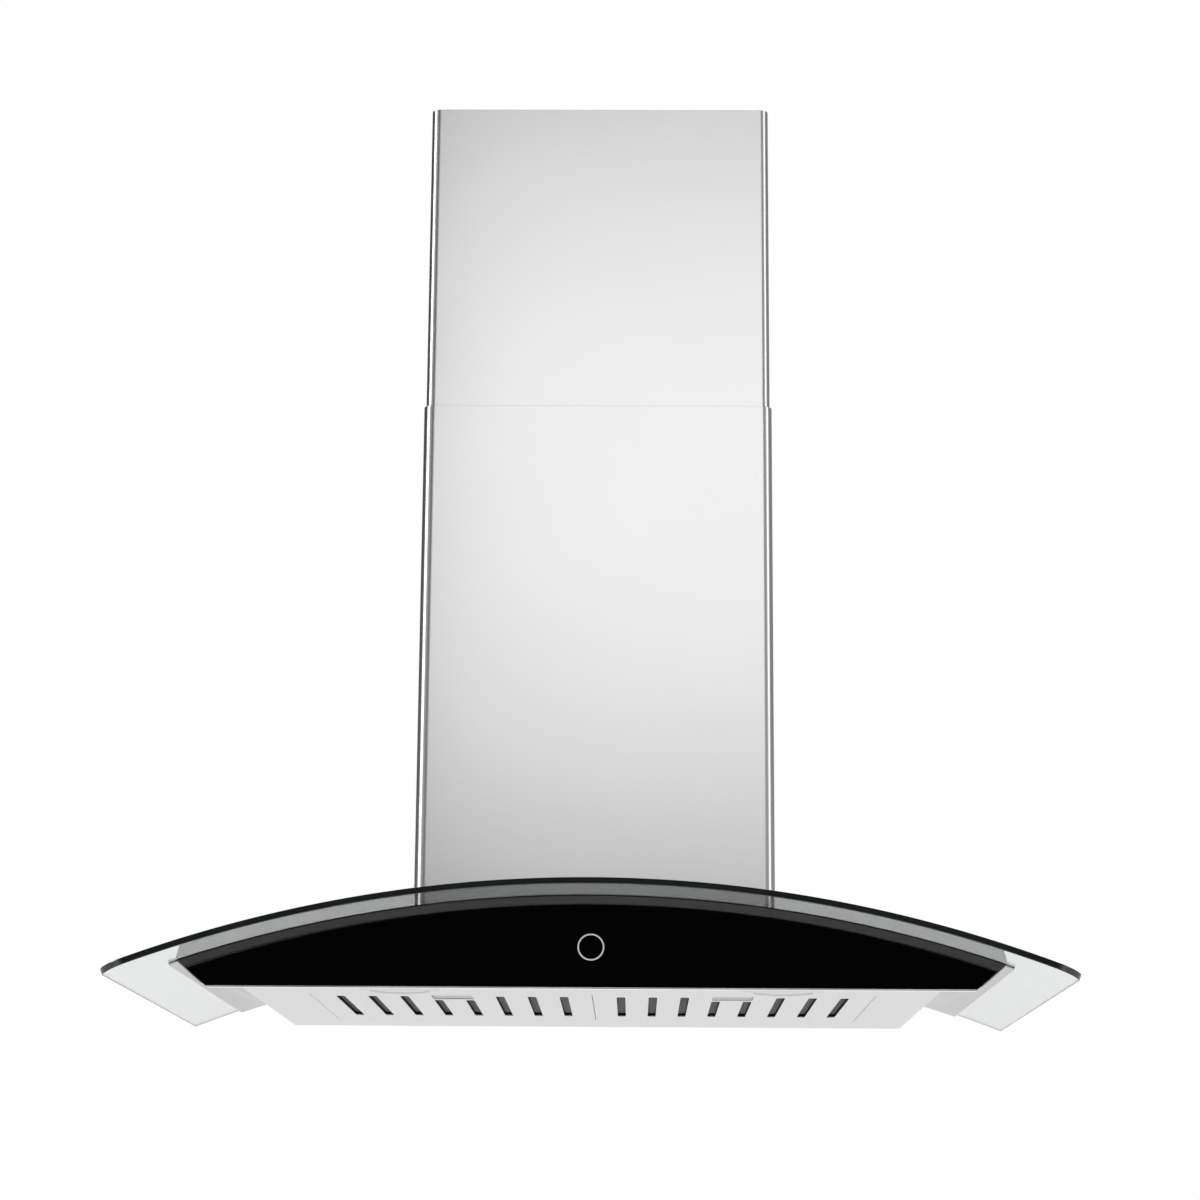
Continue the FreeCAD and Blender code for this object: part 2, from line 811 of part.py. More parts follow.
def grease_filter(side_name, side):
    """A pan with slots, a baffle behind them, a rear frame and a sprung latch.

    Its own frame: X = 0 in the middle, Y = 0 the rear edge, Z = 0 the visible face.
    """
    x = side * (filter_width + filter_gap) / 2
    y = -filter_setback
    half = filter_width / 2
    front = -filter_depth
    cup_half = latch_width / 2 + latch_ledge + metal
    cup_front = front + latch_margin
    cup_rear = cup_front + latch_length + metal * 2
    cup_top = filter_height - metal * 2
    tongue_level = metal + latch_play
    tongue_top = tongue_level + tab_thickness

    face = new_body(f"filter_face_{side_name}")
    drawing = new_sketch(face, "XY_Plane")
    draw_rectangle(drawing, -half, half, front, 0)
    pad(face, drawing, filter_height)
    drawing = new_sketch(face, "XY_Plane", filter_height)
    draw_rectangle(drawing, metal - half, half - metal, front + metal, -metal)
    pocket(face, drawing, filter_height - metal)
    drawing = new_sketch(face, "XY_Plane", metal)
    filter_slots(drawing, slot_count, slot_width)
    draw_rectangle(drawing, -latch_width / 2, latch_width / 2, cup_front + metal, cup_rear - metal)
    pocket(face, drawing)
    drawing = new_sketch(face, "XZ_Plane", filter_depth)
    gate = tongue_width / 2 + latch_play
    draw_rectangle(drawing, -gate, gate, tongue_level - latch_play, tongue_top + latch_play)
    pocket(face, drawing, metal)
    drawing = new_sketch(face, "XY_Plane", metal + latch_play)
    for hand in (-1, 1):
        middle = hand * (half - tab_margin)
        draw_rectangle(drawing, middle - tab_width / 2, middle + tab_width / 2, -metal, tab_reach)
    pad(face, drawing, tab_thickness)
    move(face, x, y, plate_under)

    baffle = new_body(f"filter_baffle_{side_name}")
    inside = half - metal
    drawing = new_sketch(baffle, "XY_Plane", metal)
    draw_rectangle(drawing, -inside, inside, front + metal, -metal)
    pad(baffle, drawing, baffle_lift + metal)
    drawing = new_sketch(baffle, "XY_Plane", metal)
    draw_rectangle(drawing, metal - inside, inside - metal, front + metal * 2, -metal * 2)
    pocket(baffle, drawing, baffle_lift, back=True)
    drawing = new_sketch(baffle, "XY_Plane", metal + baffle_lift + metal)
    filter_slots(drawing, slot_count + 1, baffle_slot_width)
    pocket(baffle, drawing, metal)
    drawing = new_sketch(baffle, "XY_Plane", metal + baffle_lift + metal)
    beside = cup_half + latch_play
    draw_rectangle(drawing, -beside, beside, front + metal, cup_rear + latch_play)
    pocket(baffle, drawing)
    move(baffle, x, y, plate_under)

    frame = new_body(f"filter_frame_{side_name}")
    level = metal + baffle_lift + metal
    drawing = new_sketch(frame, "XY_Plane", level)
    draw_rectangle(drawing, -inside, inside, front + metal, -metal)
    band = slot_width * 2
    draw_rectangle(drawing, band - inside, inside - band, cup_rear + band, -metal - band)
    pad(frame, drawing, filter_height - level)
    drawing = new_sketch(frame, "XY_Plane", filter_height)
    draw_rectangle(drawing, -beside, beside, front + metal, cup_rear + latch_play)
    pocket(frame, drawing)
    drawing = new_sketch(frame, "XY_Plane", filter_height - metal)
    bar = slot_width / 2
    for hand in (-1, 1):
        middle = hand * inside / 2
        draw_rectangle(drawing, middle - bar, middle + bar, cup_rear, -metal * 2)
    pad(frame, drawing, metal)
    move(frame, x, y, plate_under)

    cup = new_body(f"latch_cup_{side_name}")
    drawing = new_sketch(cup, "XY_Plane", metal)
    draw_rectangle(drawing, -cup_half, cup_half, cup_front, cup_rear)
    pad(cup, drawing, cup_top - metal)
    drawing = new_sketch(cup, "XY_Plane", metal)
    draw_rectangle(drawing, metal - cup_half, cup_half - metal, cup_front + metal, cup_rear - metal)
    pocket(cup, drawing, cup_top - metal * 2, back=True)
    drawing = new_sketch(cup, "XZ_Plane", -cup_front)
    draw_rectangle(drawing, -gate, gate, metal, tongue_top + latch_play)
    pocket(cup, drawing, metal)
    move(cup, x, y, plate_under)

    latch = new_body(f"filter_latch_{side_name}")
    drawing = new_sketch(latch, "XY_Plane", tongue_level)
    slider = cup_half - metal - latch_play
    slider_front = cup_front + metal + latch_play
    slider_rear = cup_rear - metal - latch_travel - latch_play * 3
    tongue = tongue_width / 2
    draw_loop(drawing, [
        (-slider, slider_front),
        (-tongue, slider_front),
        (-tongue, front),
        (tongue, front),
        (tongue, slider_front),
        (slider, slider_front),
        (slider, slider_rear),
        (-slider, slider_rear),
    ])
    dash = slot_width / 4
    for hand in (-1, 1):
        middle = hand * slider / 2
        dash_front = slider_front + latch_travel
        draw_rectangle(drawing, middle - dash * 2, middle + dash * 2, dash_front, dash_front + dash)
    pad(latch, drawing, tab_thickness)
    grip = new_sketch(latch, "XY_Plane", trim_gap)
    grip_half = latch_width / 2 - latch_play
    draw_rectangle(grip, -grip_half, grip_half, slider_rear - tab_thickness, slider_rear)
    pad(latch, grip, tongue_top - trim_gap)
    move(latch, x, y, plate_under)


# ---------------------------------------------------------------- motor housing and blower

housing_y = -housing_depth
housing_arch = body_arch + trim_gap
scroll_y = -(back_plate_thickness + scroll_wall_gap + scroll_radius)
housing_top = housing_height
half_scroll = scroll_width / 2
spider_reach = inlet_diameter / 2 + spider_lap
mouth_front = scroll_y - scroll_radius
mouth_rear = mouth_front + scroll_mouth
collar_y = -collar_setback
gland_x = half_housing - gland_margin
gland_y = -(back_plate_thickness + gland_margin)


def housing_flange():
    """Arched frame round the housing's foot, screwed to the body's top."""
    body = new_body("housing_flange")
    flange_half = notch_half - seat_gap
    flange_front = -(notch_depth - seat_gap)
    arch_band(body, glass_under, housing_arch, flange_half, -back_plate_thickness, flange_front)
    window = new_sketch(body, "XY_Plane", glass_thickness)
    draw_rectangle(window, -half_housing, half_housing, housing_y, metal)
    pocket(body, window)
    holes = new_sketch(body, "XY_Plane")
    for x, y in housing_screw_places():
        draw_circle(holes, x, y, screw_diameter)
    pocket(body, holes)


def housing_wall(name, left, right, rear, front):
    """One upright sheet of the motor housing, cut to the body's arch below."""
    body = new_body(name)
    top = housing_top - metal
    drawing = new_sketch(body, "XZ_Plane", -rear)
    draw_loop(
        drawing,
        [(left, None), (right, None), (right, top), (left, top)],
        {0: (0, arch_centre, housing_arch)},
    )
    pad(body, drawing, rear - front)


def housing_lid():
    """The housing's top sheet, with the holes for the air, the gland and the collar's screws."""
    body = new_body("housing_lid")
    drawing = new_sketch(body, "XY_Plane", housing_top)
    draw_rectangle(drawing, -half_housing, half_housing, housing_y, -back_plate_thickness)
    pad(body, drawing, metal, back=True)
    outlet = new_sketch(body, "XY_Plane", housing_top)
    draw_circle(outlet, 0, collar_y, duct_diameter - metal * 4)
    draw_circle(outlet, gland_x, gland_y, gland_neck)
    for x, y in collar_screw_places():
        draw_circle(outlet, x, collar_y + y, screw_diameter)
    pocket(body, outlet, metal)


def motor_housing():
    """A box of flat sheets, welded at the edges and open below and at the wall."""
    housing_flange()
    inside = half_housing - metal
    rear = -back_plate_thickness
    inside_front = housing_y + metal
    housing_wall("housing_front", -half_housing, half_housing, inside_front, housing_y)
    housing_wall("housing_side_left", -half_housing, -inside, rear, inside_front)
    housing_wall("housing_side_right", inside, half_housing, rear, inside_front)
    housing_lid()


def back_plate():
    """The plate that hangs on the wall, with two keyholes above and two round holes below."""
    body = new_body("back_plate")
    drawing = new_sketch(body, "XZ_Plane")
    draw_rectangle(drawing, -half_housing, half_housing, body_edge_level + metal * 2, housing_top)
    for side in (-1, 1):
        for level in (wall_hole_level, housing_top - wall_hole_margin):
            draw_circle(drawing, side * wall_hole_spacing / 2, level, wall_hole_diameter)
    pad(body, drawing, back_plate_thickness)


def motor_screw_places():
    """Near the ends of the spider's three arms."""
    reach = spider_reach - screw_edge
    return [
        (scroll_y, scroll_level + reach),
        (scroll_y, scroll_level - reach),
        (scroll_y + reach, scroll_level),
    ]


def scroll_casing():
    """Double-inlet volute with its mouth upwards."""
    body = new_body("scroll_casing")
    top = housing_top - metal
    drawing = new_sketch(body, "YZ_Plane")
    draw_circle(drawing, scroll_y, scroll_level, scroll_radius * 2)
    pad(body, drawing, scroll_width, both=True)
    drawing = new_sketch(body, "YZ_Plane")
    draw_rectangle(drawing, mouth_front, mouth_rear, scroll_level, top)
    pad(body, drawing, scroll_width, both=True)
    drawing = new_sketch(body, "YZ_Plane")
    draw_circle(drawing, scroll_y, scroll_level, (scroll_radius - plastic) * 2)
    pocket(body, drawing, scroll_width - plastic * 2, both=True)
    drawing = new_sketch(body, "YZ_Plane")
    over = top + plastic
    draw_rectangle(drawing, mouth_front + plastic, mouth_rear - plastic, scroll_level, over)
    pocket(body, drawing, scroll_width - plastic * 2, both=True)
    drawing = new_sketch(body, "YZ_Plane")
    draw_circle(drawing, scroll_y, scroll_level, inlet_diameter)
    pocket(body, drawing, scroll_width * 2, both=True)
    drawing = new_sketch(body, "YZ_Plane", half_scroll)
    for y, z in motor_screw_places():
        draw_circle(drawing, y, z, screw_diameter)
    pocket(body, drawing, plastic)


def impeller():
    """Squirrel cage on a hub disc; its own frame has the axle along Z."""
    body = new_body("impeller")
    outer = wheel_diameter / 2
    inner = outer - blade_depth
    rim = blade_thickness * 2
    half = wheel_width / 2
    drawing = new_sketch(body, "XZ_Plane")
    bore = shaft_diameter / 2
    hub = hub_diameter / 2
    disc = hub_thickness / 2
    boss = hub_thickness * 2
    draw_loop(drawing, [
        (bore, -boss - hub_offset),
        (hub, -boss - hub_offset),
        (hub, -disc - hub_offset),
        (outer, -disc - hub_offset),
        (outer, disc - hub_offset),
        (bore, disc - hub_offset),
    ])
    revolve(body, drawing)
    drawing = new_sketch(body, "XY_Plane", -half)
    thin = blade_thickness / 2
    draw_rectangle(drawing, inner + trim_gap, outer - trim_gap, -thin, thin)
    blade = pad(body, drawing, wheel_width)
    blades = body.newObject("PartDesign::PolarPattern", "PolarPattern")
    blades.Originals = [blade]
    blades.Axis = (next(item for item in body.Origin.OriginFeatures if item.Role == "Z_Axis"), [""])
    blades.Angle = 360.0
    blades.Occurrences = blade_count
    body.Tip = blades
    finish_feature(body, blades, True)
    for low in (-half, half - rim):
        drawing = new_sketch(body, "XY_Plane", low)
        draw_circle(drawing, 0, 0, outer * 2)
        draw_circle(drawing, 0, 0, inner * 2)
        pad(body, drawing, rim)
    body.Placement = Placement(Vector(), Rotation(Z_AXIS, X_AXIS))
    move(body, 0, scroll_y, scroll_level)


motor_face = hub_thickness / 2 - hub_offset + motor_gap
motor_rear = motor_face + motor_length


def motor():
    body = new_body("motor")
    drawing = new_sketch(body, "YZ_Plane", motor_face)
    draw_circle(drawing, scroll_y, scroll_level, motor_diameter)
    pad(body, drawing, motor_length)
    drawing = new_sketch(body, "YZ_Plane", motor_rear)
    draw_circle(drawing, scroll_y, scroll_level, motor_diameter / 2)
    pad(body, drawing, plastic * 2)
    drawing = new_sketch(body, "YZ_Plane", motor_face)
    draw_circle(drawing, scroll_y, scroll_level, shaft_diameter + bearing_clearance * 2)
    pocket(body, drawing, motor_length / 2, back=True)


def motor_shaft():
    start = -(hub_offset + hub_thickness * 2)
    length = motor_face + motor_length / 2 - hub_thickness / 2 - start
    cylinder("motor_shaft", shaft_diameter, length, start, scroll_y, scroll_level, X_AXIS)


def motor_spider():
    """Ring and three arms that hold the motor in the inlet of the scroll."""
    body = new_body("motor_spider")
    drawing = new_sketch(body, "YZ_Plane", half_scroll)
    draw_circle(drawing, scroll_y, scroll_level, motor_diameter + spider_band * 2)
    draw_circle(drawing, scroll_y, scroll_level, motor_diameter)
    pad(body, drawing, spider_thickness)
    arms = new_sketch(body, "YZ_Plane", half_scroll)
    near = (motor_diameter + spider_band) / 2
    far = spider_reach
    half_arm = screw_head
    for hand in (-1, 1):
        inner = scroll_level + hand * near
        outer = scroll_level + hand * far
        draw_rectangle(arms, scroll_y - half_arm, scroll_y + half_arm, inner, outer)
    low = scroll_level - half_arm
    draw_rectangle(arms, scroll_y + near, scroll_y + far, low, low + half_arm * 2)
    pad(body, arms, spider_thickness)
    holes = new_sketch(body, "YZ_Plane", half_scroll)
    for y, z in motor_screw_places():
        draw_circle(holes, y, z, screw_diameter)
    pocket(body, holes, spider_thickness, back=True)


def outlet_collar():
    """Duct collar with a flange, a seat for the flaps and the holes of their pin."""
    body = new_body("outlet_collar")
    drawing = new_sketch(body, "XZ_Plane")
    outer = duct_diameter / 2
    inner = outer - plastic
    ledge = inner - plastic
    seat = pin_level - flap_thickness - seat_gap
    draw_loop(drawing, [
        (ledge, 0),
        (outer + collar_flange, 0),
        (outer + collar_flange, plastic),
        (outer, plastic),
        (outer, collar_height),
        (inner, collar_height),
        (inner, seat),
        (ledge, seat),
    ])
    revolve(body, drawing)
    drawing = new_sketch(body, "YZ_Plane")
    draw_circle(drawing, 0, pin_level, pin_diameter)
    pocket(body, drawing, duct_diameter * 2, both=True)
    drawing = new_sketch(body, "XY_Plane", plastic)
    for x, y in collar_screw_places():
        draw_circle(drawing, x, y, screw_diameter)
    pocket(body, drawing, plastic)
    move(body, 0, collar_y, housing_top)


def damper_pin():
    half = duct_diameter / 2
    cylinder("damper_pin", pin_diameter, half * 2, -half, collar_y, housing_top + pin_level, X_AXIS)


def damper_flap(name, side, turns):
    """Half a disc that hangs on the pin by two of the four knuckles; its own frame is on the pin."""
    body = new_body(name)
    radius = duct_diameter / 2 - plastic - flap_clearance
    edge = knuckle_diameter / 2 + flap_clearance
    reach = root(radius * radius - edge * edge)
    drawing = new_sketch(body, "XY_Plane", -flap_thickness)
    draw_loop(drawing, [(-reach, side * edge), (reach, side * edge)], {0: (0, 0, radius)})
    pad(body, drawing, flap_thickness)
    first = (knuckle_pitch - knuckle_length) / 2
    starts = [first + knuckle_pitch * turn for turn in turns]
    places = [(start, start + knuckle_length) for start in starts]
    drawing = new_sketch(body, "XY_Plane", -flap_thickness)
    for low, high in places:
        draw_rectangle(drawing, low, high, side * pin_diameter / 4, side * (edge + flap_clearance))
    pad(body, drawing, flap_thickness)
    for low, high in places:
        drawing = new_sketch(body, "YZ_Plane", low)
        draw_circle(drawing, 0, 0, knuckle_diameter)
        pad(body, drawing, high - low)
    drawing = new_sketch(body, "YZ_Plane")
    draw_circle(drawing, 0, 0, pin_diameter + bearing_clearance * 2)
    pocket(body, drawing, duct_diameter * 2, both=True)
    move(body, 0, collar_y, housing_top + pin_level)


def electrical_pieces():
    inside_front = housing_y + metal
    inside_right = half_housing - metal

    box = new_body("terminal_box")
    drawing = new_sketch(box, "XY_Plane", terminal_level)
    left = inside_right - terminal_width
    rear = inside_front + terminal_depth
    draw_rectangle(drawing, left, inside_right, inside_front, rear)
    pad(box, drawing, terminal_height)
    drawing = new_sketch(box, "XZ_Plane", -rear)
    low = terminal_level + plastic
    high = terminal_level + terminal_height - plastic
    draw_rectangle(drawing, left + plastic, inside_right - plastic, low, high)
    pocket(box, drawing, terminal_depth - plastic, back=True)

    cover = new_body("terminal_cover")
    drawing = new_sketch(cover, "XZ_Plane", -rear)
    draw_rectangle(drawing, left, inside_right, terminal_level, terminal_level + terminal_height)
    pad(cover, drawing, plastic, back=True)

    can_y = inside_front + capacitor_diameter
    can_z = terminal_level + capacitor_diameter
    can_x = metal - half_housing
    cylinder("capacitor", capacitor_diameter, capacitor_length, can_x, can_y, can_z, X_AXIS)

    gland = new_body("cable_gland")
    drawing = new_sketch(gland, "XZ_Plane")
    bore = gland_bore / 2
    neck = gland_neck / 2
    nut = gland_nut / 2
    under = -(metal + gland_nut_height)
    draw_loop(drawing, [
        (bore, under),
        (nut, under),
        (nut, -metal),
        (neck, -metal),
        (neck, 0),
        (nut, 0),
        (nut, gland_nut_height),
        (neck, gland_height),
        (bore, gland_height),
    ])
    revolve(gland, drawing)
    move(gland, gland_x, gland_y, housing_top)


# ---------------------------------------------------------------- chimney

def chimney_channel(label, half_width, front, rear, corner, low, high):
    """A folded U with rounded corners and a return along the wall on each side."""
    body = new_body(label)
    drawing = new_sketch(body, "XY_Plane", low)
    inner = half_width - metal
    inner_front = front + metal
    return_edge = half_width - return_width
    round_y = front + corner
    round_x = half_width - corner
    inner_corner = corner - metal
    corners = [
        (-half_width, rear),
        (-half_width, round_y),
        (-round_x, front),
        (round_x, front),
        (half_width, round_y),
        (half_width, rear),
        (return_edge, rear),
        (return_edge, rear - metal),
        (inner, rear - metal),
        (inner, round_y),
        (round_x, inner_front),
        (-round_x, inner_front),
        (-inner, round_y),
        (-inner, rear - metal),
        (-return_edge, rear - metal),
        (-return_edge, rear),
    ]
    arcs = {
        1: (-round_x, round_y, corner),
        3: (round_x, round_y, corner),
        9: (round_x, round_y, inner_corner),
        11: (-round_x, round_y, inner_corner),
    }
    draw_loop(drawing, corners, arcs)
    pad(body, drawing, high - low)
    return body


def return_notch(body, half_width, rear, low, high):
    """Take the returns away where a bracket lies on the wall."""
    drawing = new_sketch(body, "XY_Plane", high)
    for side in (-1, 1):
        outer = side * (half_width - metal)
        inner = side * (half_width - return_width - metal)
        draw_rectangle(drawing, inner, outer, rear - metal * 1.5, rear + metal)
    pocket(body, drawing, high - low)


def screw_holes(body, level):
    drawing = new_sketch(body, "YZ_Plane")
    draw_circle(drawing, -chimney_screw_setback, level, screw_diameter)
    pocket(body, drawing, chimney_width * 2, both=True)


upper_half = half_chimney - metal - slide_clearance
upper_front = -(chimney_depth - metal - slide_clearance)
upper_rear = -(metal + slide_clearance)
upper_low = chimney_height - chimney_overlap
upper_high = chimney_height + chimney_rise
upper_bracket_high = upper_high - metal * 2
upper_bracket_low = upper_bracket_high - bracket_height
bracket_top = bracket_level + bracket_height


def chimneys():
    low = arch_level(glass_radius, half_chimney) - metal
    lower = chimney_channel(
        "lower_chimney", half_chimney, -chimney_depth, as_size(0), chimney_corner, low, chimney_height)
    arch_cut_below(lower, glass_radius + glass_clearance, half_chimney + metal)
    return_notch(lower, half_chimney, as_size(0), low - metal, bracket_top + metal * 2)
    screw_holes(lower, bracket_level + bracket_height / 2)
    upper = chimney_channel(
        "upper_chimney", upper_half, upper_front, upper_rear,
        chimney_corner - metal - slide_clearance, upper_low, upper_high)
    return_notch(upper, upper_half, upper_rear, upper_bracket_low - metal * 2, upper_high + metal)
    screw_holes(upper, upper_bracket_low + bracket_height / 2)


def lower_brackets():
    """Two angles on the wall that the lower chimney is screwed to."""
    angles = []
    outer = half_chimney - metal
    foot = housing_side_gap - bracket_gap
    for side in (-1, 1):
        body = new_body(f"lower_angle_{side}")
        drawing = new_sketch(body, "XY_Plane", bracket_level)
        draw_loop(drawing, [
            (side * outer, 0),
            (side * outer, -bracket_depth),
            (side * (outer - bracket_metal), -bracket_depth),
            (side * (outer - bracket_metal), -bracket_metal),
            (side * (outer - foot), -bracket_metal),
            (side * (outer - foot), 0),
        ])
        pad(body, drawing, bracket_height)
        screw_holes(body, bracket_level + bracket_height / 2)
        hole = new_sketch(body, "XZ_Plane", bracket_metal)
        across = outer - (foot + bracket_metal) / 2
        draw_circle(hole, side * across, bracket_level + bracket_height / 2, wall_hole_diameter)
        pocket(body, hole, bracket_metal * 2)
        angles.append(body)
    group("lower_chimney_brackets", angles)


def upper_bracket():
    """The wall bracket inside the top of the upper chimney."""
    body = new_body("upper_chimney_bracket")
    drawing = new_sketch(body, "XY_Plane", upper_bracket_low)
    outer = upper_half - metal
    draw_loop(drawing, [
        (-outer, 0),
        (-outer, -bracket_depth),
        (bracket_metal - outer, -bracket_depth),
        (bracket_metal - outer, -bracket_metal),
        (outer - bracket_metal, -bracket_metal),
        (outer - bracket_metal, -bracket_depth),
        (outer, -bracket_depth),
        (outer, 0),
    ])
    pad(body, drawing, bracket_height)
    screw_holes(body, upper_bracket_low + bracket_height / 2)
    holes = new_sketch(body, "XZ_Plane", bracket_metal)
    level = upper_bracket_low + bracket_height / 2
    for side in (-1, 1):
        draw_circle(holes, side * wall_hole_spacing / 2, level, wall_hole_diameter)
    pocket(body, holes, bracket_metal * 2)


# ---------------------------------------------------------------- screws

def screw(name, x, y, z, direction, length=screw_length):
    """One low-headed screw: the head starts at the point, and the shank runs along direction."""
    head = cylinder(f"{name}_head", screw_head, screw_head_height)
    shank = cylinder(f"{name}_shank", screw_diameter, screw_head_height + length)
    single = doc.addObject("Part::Fuse", "Screw")
    single.Label = name
    single.Base = head
    single.Tool = shank
    single.Placement = Placement(Vector(), Rotation(Z_AXIS, direction))
    return move(single, x, y, z)


def screws():
    for label, half, level in (
        ("lower_chimney_screws", half_chimney, bracket_level + bracket_height / 2),
        ("upper_chimney_screws", upper_half, upper_bracket_low + bracket_height / 2),
    ):
        pair = []
        for side in (-1, 1):
            x = side * (half + screw_head_height)
            inward = Vector(-side, 0, 0)
            pair.append(screw(f"{label}_{side}", x, -chimney_screw_setback, level, inward))
        group(label, pair)

    down = -Z_AXIS
    lift = screw_head_height + seat_gap * 2
    on_flange = []
    for index, (x, y) in enumerate(housing_screw_places()):
        z = arch_level(glass_under, x) + lift
        on_flange.append(screw(f"housing_screw_{index}", x, y, z, down))
    group("housing_screws", on_flange)
    on_collar = []
    for index, (x, y) in enumerate(collar_screw_places()):
        z = housing_top + plastic + screw_head_height
        on_collar.append(screw(f"collar_screw_{index}", x, collar_y + y, z, down, plastic + metal))
    group("collar_screws", on_collar)
    on_spider = []
    x = half_scroll + spider_thickness + screw_head_height
    for index, (y, z) in enumerate(motor_screw_places()):
        on_spider.append(screw(f"motor_screw_{index}", x, y, z, -X_AXIS))
    group("motor_screws", on_spider)


# ---------------------------------------------------------------- build

glass_canopy()
glass_gasket()
body_shell()
bottom_plate()
panel_top_trim()
control_panel()
touch_ring()
front_lip()
control_box()
control_board()
for side_name, side in (("left", -1), ("right", 1)):
    lamp(side_name, side)
    grease_filter(side_name, side)
motor_housing()
back_plate()
scroll_casing()
impeller()
motor()
motor_shaft()
motor_spider()
outlet_collar()
damper_pin()
damper_flap("damper_flap_front", -1, (-2, 0))
damper_flap("damper_flap_rear", 1, (-1, 1))
electrical_pieces()
chimneys()
lower_brackets()
upper_bracket()
screws()
doc.recompute()


# ---------------------------------------------------------------- checks and files

nodes = [item for item in doc.RootObjects if item.isDerivedFrom("Part::Feature")]
for item in doc.Objects:
    if "Invalid" in item.State or "Error" in item.State:
        raise RuntimeError(f"{item.Label} ({item.Name}) failed: {item.State}")
for node in nodes:
    if node.Shape.isNull() or not node.Shape.isValid():
        raise RuntimeError(f"{node.Label} has no valid shape")

os.makedirs("parts", exist_ok=True)
for node in nodes:
    node.Shape.exportStep(f"parts/{node.Label}.step")
print(len(nodes), "nodes")
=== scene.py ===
import json
import math

import bmesh
import bpy
from mathutils import Matrix, Vector


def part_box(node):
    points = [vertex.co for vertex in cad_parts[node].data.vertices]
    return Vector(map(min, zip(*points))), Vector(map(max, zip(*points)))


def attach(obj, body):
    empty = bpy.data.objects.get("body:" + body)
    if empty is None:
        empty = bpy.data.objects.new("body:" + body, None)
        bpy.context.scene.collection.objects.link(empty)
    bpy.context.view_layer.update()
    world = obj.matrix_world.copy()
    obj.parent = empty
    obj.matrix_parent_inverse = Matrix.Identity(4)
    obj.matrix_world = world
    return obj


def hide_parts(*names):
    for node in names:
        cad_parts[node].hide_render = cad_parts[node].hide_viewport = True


# The looks of a wall-mounted range hood: arched clear glass, black glass front, steel body with
# lamps and slotted filters, and a two-part steel chimney. Metres; -Y is the front, +Y the wall.

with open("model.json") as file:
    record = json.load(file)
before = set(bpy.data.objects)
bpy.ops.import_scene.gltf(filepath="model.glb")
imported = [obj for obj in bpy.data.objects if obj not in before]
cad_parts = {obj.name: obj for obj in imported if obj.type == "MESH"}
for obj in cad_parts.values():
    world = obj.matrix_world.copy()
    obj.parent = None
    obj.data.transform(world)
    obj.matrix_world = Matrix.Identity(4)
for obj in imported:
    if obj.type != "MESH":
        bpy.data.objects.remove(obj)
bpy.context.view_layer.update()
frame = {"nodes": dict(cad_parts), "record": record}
scene = bpy.context.scene
MM = 0.001

# the glass and the body under it
ARCH_RADIUS = 1031 * MM
GLASS_THICKNESS = 5 * MM
GASKET = 1 * MM
BODY_ARCH = ARCH_RADIUS - GLASS_THICKNESS - GASKET
GLASS_CORNER = 20 * MM
GLASS_LAP = 4.5 * MM
NOTCH_CORNER = 6 * MM
SHEET = 1 * MM
PANEL_INSET = 7 * MM
ARCH_STEP = 10 * MM
RING_LINE = 1.15 * MM

# the lamps
LAMP_TUBE_INSET = 6.3 * MM
LAMP_TUBE_DEPTH = 12 * MM
LENS_PLAY = 0.1 * MM

# the slots of a filter; the middle two are shorter, to leave room for the latch
SLOT_COUNT = 8
SLOT_WIDTH = 7 * MM
SLOT_PITCH = 26 * MM
SLOT_FRONT_MARGIN = 20 * MM
SLOT_SHORT_MARGIN = 54 * MM
SLOT_REAR_MARGIN = 42 * MM
SLOT_LIP = 1.8 * MM
SLOT_LIP_LAP = 0.45 * MM
SLOT_LIP_CORNER = 1.2 * MM
SLOT_LIP_SHEET = 0.4 * MM

# the chimney and its screws
CHIMNEY_CORNER = 9.5 * MM
CHIMNEY_STEP = 12 * MM
RETURN_WIDTH = 12 * MM
RETURN_CORNER = 2 * MM
SLIDE_GAP = 0.75 * MM
GLASS_GAP = 0.3 * MM
SCREW_HEAD = 8 * MM
SCREW_HEAD_HEIGHT = 1.2 * MM
SCREW_LENGTH = 6 * MM

# vertices closer than this are one
WELD = 0.001 * MM


# ---------------------------------------------------------------- shader maths

class Wire:
    """An output of a node; sums and products of wires and numbers add Math nodes."""

    def __init__(self, finish, socket):
        self.finish = finish
        self.socket = socket

    def other(self, name):
        """Another output of the same node."""
        return Wire(self.finish, self.socket.node.outputs[name])

    def __add__(self, other):
        return self.finish.maths("ADD", self, other)

    def __mul__(self, other):
        return self.finish.maths("MULTIPLY", self, other)

    __radd__ = __add__
    __rmul__ = __mul__


